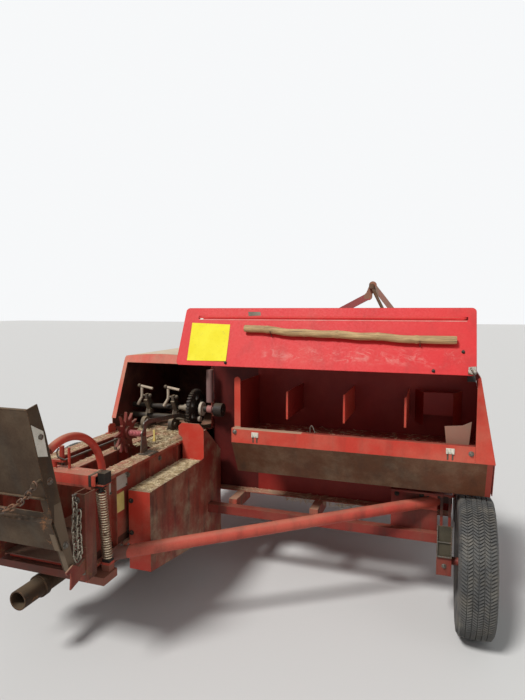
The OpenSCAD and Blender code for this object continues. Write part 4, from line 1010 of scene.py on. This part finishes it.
clamp = lid_plate(1, 5, ((1815, 1018), (1848, 1022), (1849, 985), (1838, 980), (1812, 984)))
clamp.tube([on_lid(*p) for p in ((1824, 6, 1012), (1826, 13, 1006), (1834, 14, 990), (1842, 12, 984),
                                 (1846, 5, 990))], 0.0035, 8)
clamp.make("lid_clamp", "bolt_steel", "bare_steel", "lid")
# The pale line under the crease is a painted highlight, and the stop is a dark plate whose black also stands for the
# lid's shadow on it.
for name, look, low, high, outline in (
        ("lid_crease_edge", "pale_line", 0.2, 0.8, ((392, 1253.5), (1808, 1253.5), (1808, 1249), (392, 1249))),
        ("lid_stop", "cap_black", -702, -706, ((1846, 1165), (1896, 1172), (1897, 1240), (1846, 1232)))):
    lid_plate(low, high, outline).make(name, look, body="lid")
print("lid dressed")

# %% [markdown]
# ## Latches on the rail
# Two spring clips hold the closed lid. Each is a strip bent in an M over two slots, so it is a profile swept
# across its width; the slots are thin dark plates, painted shade for the openings. A thin hook of wire stands between
# them.

# %% Rail latches
RAIL_Y = -126
CLIP = ((-20, 0.4), (-18, 7), (-13, 9), (-9, 4), (-5, 1.8), (0, 6), (5, 1.8), (9, 4), (13, 9), (18, 7), (20, 0.4),
        (20, 0), (-20, 0))
latch, slots = Form(), Form()
for centre in (752, 1746):
    latch.grid([[(centre + u, RAIL_Y - out * pull, z) for u, out in CLIP]
                for z, pull in ((954, 0.3), (952, 1.0), (940, 1.0), (928, 1.0), (926, 0.3))], ends=True)
    for x in (centre - 11, centre + 11):
        slots.prism([(x + u, -126.6, z) for u, z in ((-4, 926), (4, 926), (4, 899), (0, 895), (-4, 899))],
                    (0, 0.0009, 0))
latch.make("rail_latches", "white_plate", "bare_steel", smooth=50)
# The slots are thin dark plates on the rail: painted shade for the openings under the clips.
slots.make("rail_slots", "dark_iron")
hook = Form().tube([(x, -106, z) for x, z in ((1052, 969), (1053, 1004), (1060, 1010), (1067, 1004), (1074, 985),
                                              (1079, 971))], 0.0025, 8)
hook.make("rail_hook", "bolt_steel", "bare_steel", smooth=60)
print("rail dressed")

# %% [markdown]
# ## Blank plates
# The chamber's wall and the chute's arm carry plates that have lost their print. They are thin sheets with a dirty
# edge, and the grey one has a rivet in each corner.

# %% Plates
for name, y0, y1, z0, z1, look in (("wall_plate_grey", -713, -566, 750, 818, "grey_plate"),
                                   ("wall_plate_yellow", -676, -595, 640, 732, "faded_yellow")):
    plate = quad_sheet(lambda u, v, h: at(236 + h, u, v), [(y0, z1), (y1, z1), (y1, z0), (y0, z0)], 0.8, 6)
    plate.make(name, look, "old_red_paint")
strip = quad_sheet(lambda u, v, h: on_chute(265 + h, u, v), [(-50, 703), (1, 654), (-3, 548), (-50, 572)], 1.2, 8)
strip.make("chute_strip", "white_plate", "bare_steel", "chute")
bolt_set("plate_rivets", "root", RIGHT, [(237.6, y, z) for z in (811, 757) for y in (-705, -574)], Head=0.003,
         Height=0.002, Washer=0.0035)
print("plates placed")

# %% [markdown]
# ## Folded chain at the post
# A spare length of the same chain hangs in two falls from a hook at the post's top.

# %% Post chain
fall = [at(243 + 3 * sin(i * 0.9), -966, 828 - 25.5 * i) for i in range(11)]
turn_round = [at(251, -968, 560), at(262, -968, 574)]
rise = [at(266 + 2 * cos(i * 0.8), -967, 592 + 26 * i) for i in range(8)]
chain("post_chain", "root", fall + turn_round + rise, 0, "dusty_chain")
pegs = Form()
for x, z, tip in ((243, 838, 834), (266, 776, 774)):
    pegs.tube([(x, -949, z), (x, -963, z), (x, -970, tip), (x, -973, tip + 8)], 0.005)
pegs.make("post_pegs", "bolt_steel", "bare_steel", smooth=60)

# %% [markdown]
# ## Chaff and straw
# Broken straw lies wherever hay has passed. Points are scattered over a few flat patches, and each gets a straw: a
# short bent tube with three sides, turned by chance and lying nearly flat. The seed is fixed, so every run is alike.

# %% Straw finish and tree
m = Layers("straw_finish")
m.finish(m.mix(m.span(m.noise(26, 3), 0.34, 0.66), (0.42, 0.31, 0.16), (0.74, 0.62, 0.40)), 0.8)

litter = Grower("litter", Amount=900.0, Seed=3, Length=0.030, Thickness=0.00085, Tilt=0.32)
scatter = litter.add("DistributePointsOnFaces", {"Mesh": "Geometry", "Density": "Amount", "Seed": "Seed"})
stem = litter.add("CurveQuadraticBezier", {"Resolution": 3, "Start": (-0.5, 0, 0), "Middle": (0.05, 0.10, 0.06),
                                           "End": (0.5, 0, 0)})
stem = litter.add("Transform", {"Geometry": stem, "Scale": litter.xyz("Length", "Length", "Length")})
section = litter.add("CurvePrimitiveCircle", {"Resolution": 3, "Radius": "Thickness"})
stalk = litter.add("CurveToMesh", {"Curve": stem, "Profile Curve": section, "Fill Caps": True})
down = litter.add("ShaderNodeMath", {0: "Tilt", 1: -1.0}, operation="MULTIPLY")
any_turn = litter.add("FunctionNodeRandomValue", {0: litter.xyz(down, down), 1: litter.xyz("Tilt", "Tilt", 6.283),
                                                  "Seed": "Seed"}, data_type="FLOAT_VECTOR")
any_size = litter.node("FunctionNodeRandomValue", {2: 0.35, 3: 1.25}, data_type="FLOAT").outputs[1]
litter.close(litter.add("InstanceOnPoints", {"Points": scatter, "Instance": stalk, "Rotation": any_turn,
                                             "Scale": any_size}), "straw_finish")


# %% Scatter the straw
def flat(x0, y0, x1, y1, z):
    return (x0, y0, z), (x1, y0, z), (x1, y1, z), (x0, y1, z)


OLD, RED = "old_red_paint", "red_paint"
for name, slot, amount, seed, length, tilt, quads in (
        ("guard", OLD, 24000.0, 5, 0.026, 0.32, [flat(272, -585, 380, -50, 743), flat(272, -330, 380, -60, 743)]),
        ("rails", OLD, 7500.0, 6, 0.024, 0.32, [flat(180, -760, 260, 40, 852), flat(-28, -700, 6, 40, 852),
                                                flat(-260, -760, -180, 50, 852), flat(-240, 70, 260, 290, 852)]),
        ("heap", OLD, 17000.0, 16, 0.030, 0.7, [flat(184, -250, 262, -50, 855), flat(-150, 72, 250, 120, 858),
                                                flat(60, -230, 172, 60, 853)]),
        ("box", RED, 900.0, 7, 0.028, 0.32, [flat(640, -80, 1840, 310, 907)]),
        ("table", OLD, 1500.0, 8, 0.045, 0.32, [flat(420, 255, 1700, 320, 482), flat(400, 330, 1700, 880, 482)]),
        ("tufts", OLD, 26000.0, 9, 0.040, 1.2, [((820, 251, 455), (1420, 251, 455), (1420, 251, 472),
                                                 (820, 251, 472))]),
        ("beam", RED, 1200.0, 10, 0.014, 0.32, [flat(-280, -870, 280, -800, 898)])):
    patches = bpy.data.meshes.new("patches")
    patches.from_pydata([tuple(at(*corner)) for quad in quads for corner in quad], [],
                        [tuple(range(4 * i, 4 * i + 4)) for i in range(len(quads))])
    litter.run("straw_" + name, patches, "root", slot, Amount=amount, Seed=seed, Length=length, Tilt=tilt)
print("straw lies")

# %% [markdown]
# ## Small fittings
# The rest are rods, straps and thin plates: hooks on the cranks, a thread wound on the star wheel's shaft, levers on
# the knotters, an ear on the rail, a dark channel on the leg, a skirt under the hood, a brace and a yellow tag.

# %% Fittings
Form().tube([(61, -836, 990), (53, -842, 972), (63, -846, 955), (81, -846, 948), (99, -840, 940)], 0.004,
            8).make("crank_hooks", "chain_steel", "chain_steel", smooth=60)
Form().tube([(115 + 0.60 * k, -350 + 14.5 * cos(k * 0.42), 955 + 14.5 * sin(k * 0.42)) for k in range(128)],
            0.0030, 6).make("star_thread", "pink_paint", "cast_iron", "star_wheel", 60)
levers = Form()
for x in (-97, 97):
    levers.tube([(x - 62, 209, 1118.8), (x - 20, 209, 1112.1), (x + 24, 209, 1105.1)], 0.0086, 14)
    levers.tube([(x - 58, 209, 1108), (x - 57, 208, 1070), (x - 59, 207, 1040)], 0.0092, 12)
    levers.tube([(x - 60, 207, 1042), (x - 74, 206, 1018), (x - 88, 206, 996)], lambda i, turn: 0.0092 + 0.001 * i, 12)
levers.make("knotter_levers", "lever_iron", "cast_iron", smooth=50)
ear = Form().prism([(-240, y, z) for y, z in ((-49, 850.5), (25, 850.5), (25, 892), (12, 907), (-30, 913),
                                             (-47, 900))], (0.006, 0, 0))
ear.brick(-258, -50, 850.4, -222, 26, 856).make("rail_ear", "frame_paint")
Form().brick(1702, -53, 385, 1764, -50.2, 538).make("leg_channel", "olive_iron")
lips = Form()
for x0, x1, z0, z1 in ((1697, 1702, 378, 540), (1764, 1769, 378, 540), (1702, 1764, 378, 385), (1702, 1764, 455, 459)):
    lips.brick(x0, -62, z0, x1, -50.2, z1)
lips.make("leg_lips", "old_steel")
Form().prism([(-246, 6, 852), (-246, 300, 852), (-246, 300, 941), (-246, 6, 941)],
             (0.003, 0, 0)).make("hood_skirt", "hood_paint")
Form().brick(252, -882, 848, 265, -790, 898).make("beam_strap", "cap_black")
brace = Form().tube([(x, 752, z) for x, z in ((1255, 1770), (1290, 1700), (1327, 1626), (1362, 1560), (1396, 1505),
                                             (1450, 1457), (1606, 1352))], 0.0105, 12)
brace.brick(1597, 742, 1328, 1630, 762, 1362).brick(1240, 740, 1755, 1270, 766, 1786)
brace.make("feeder_brace", "rusty_iron", "rusty_steel", smooth=50)
tag = Form().prism([(120, -120, 862), (132, -120, 862), (132, -120, 921), (120, -120, 921)], (0, 0.002, 0))
tag.brick(118, -124, 850.3, 134, -112, 863).make("yellow_tag", "faded_yellow")
print("fittings placed")

# %% [markdown]
# ## Finish

# %% Finish
print("the machine is dressed")
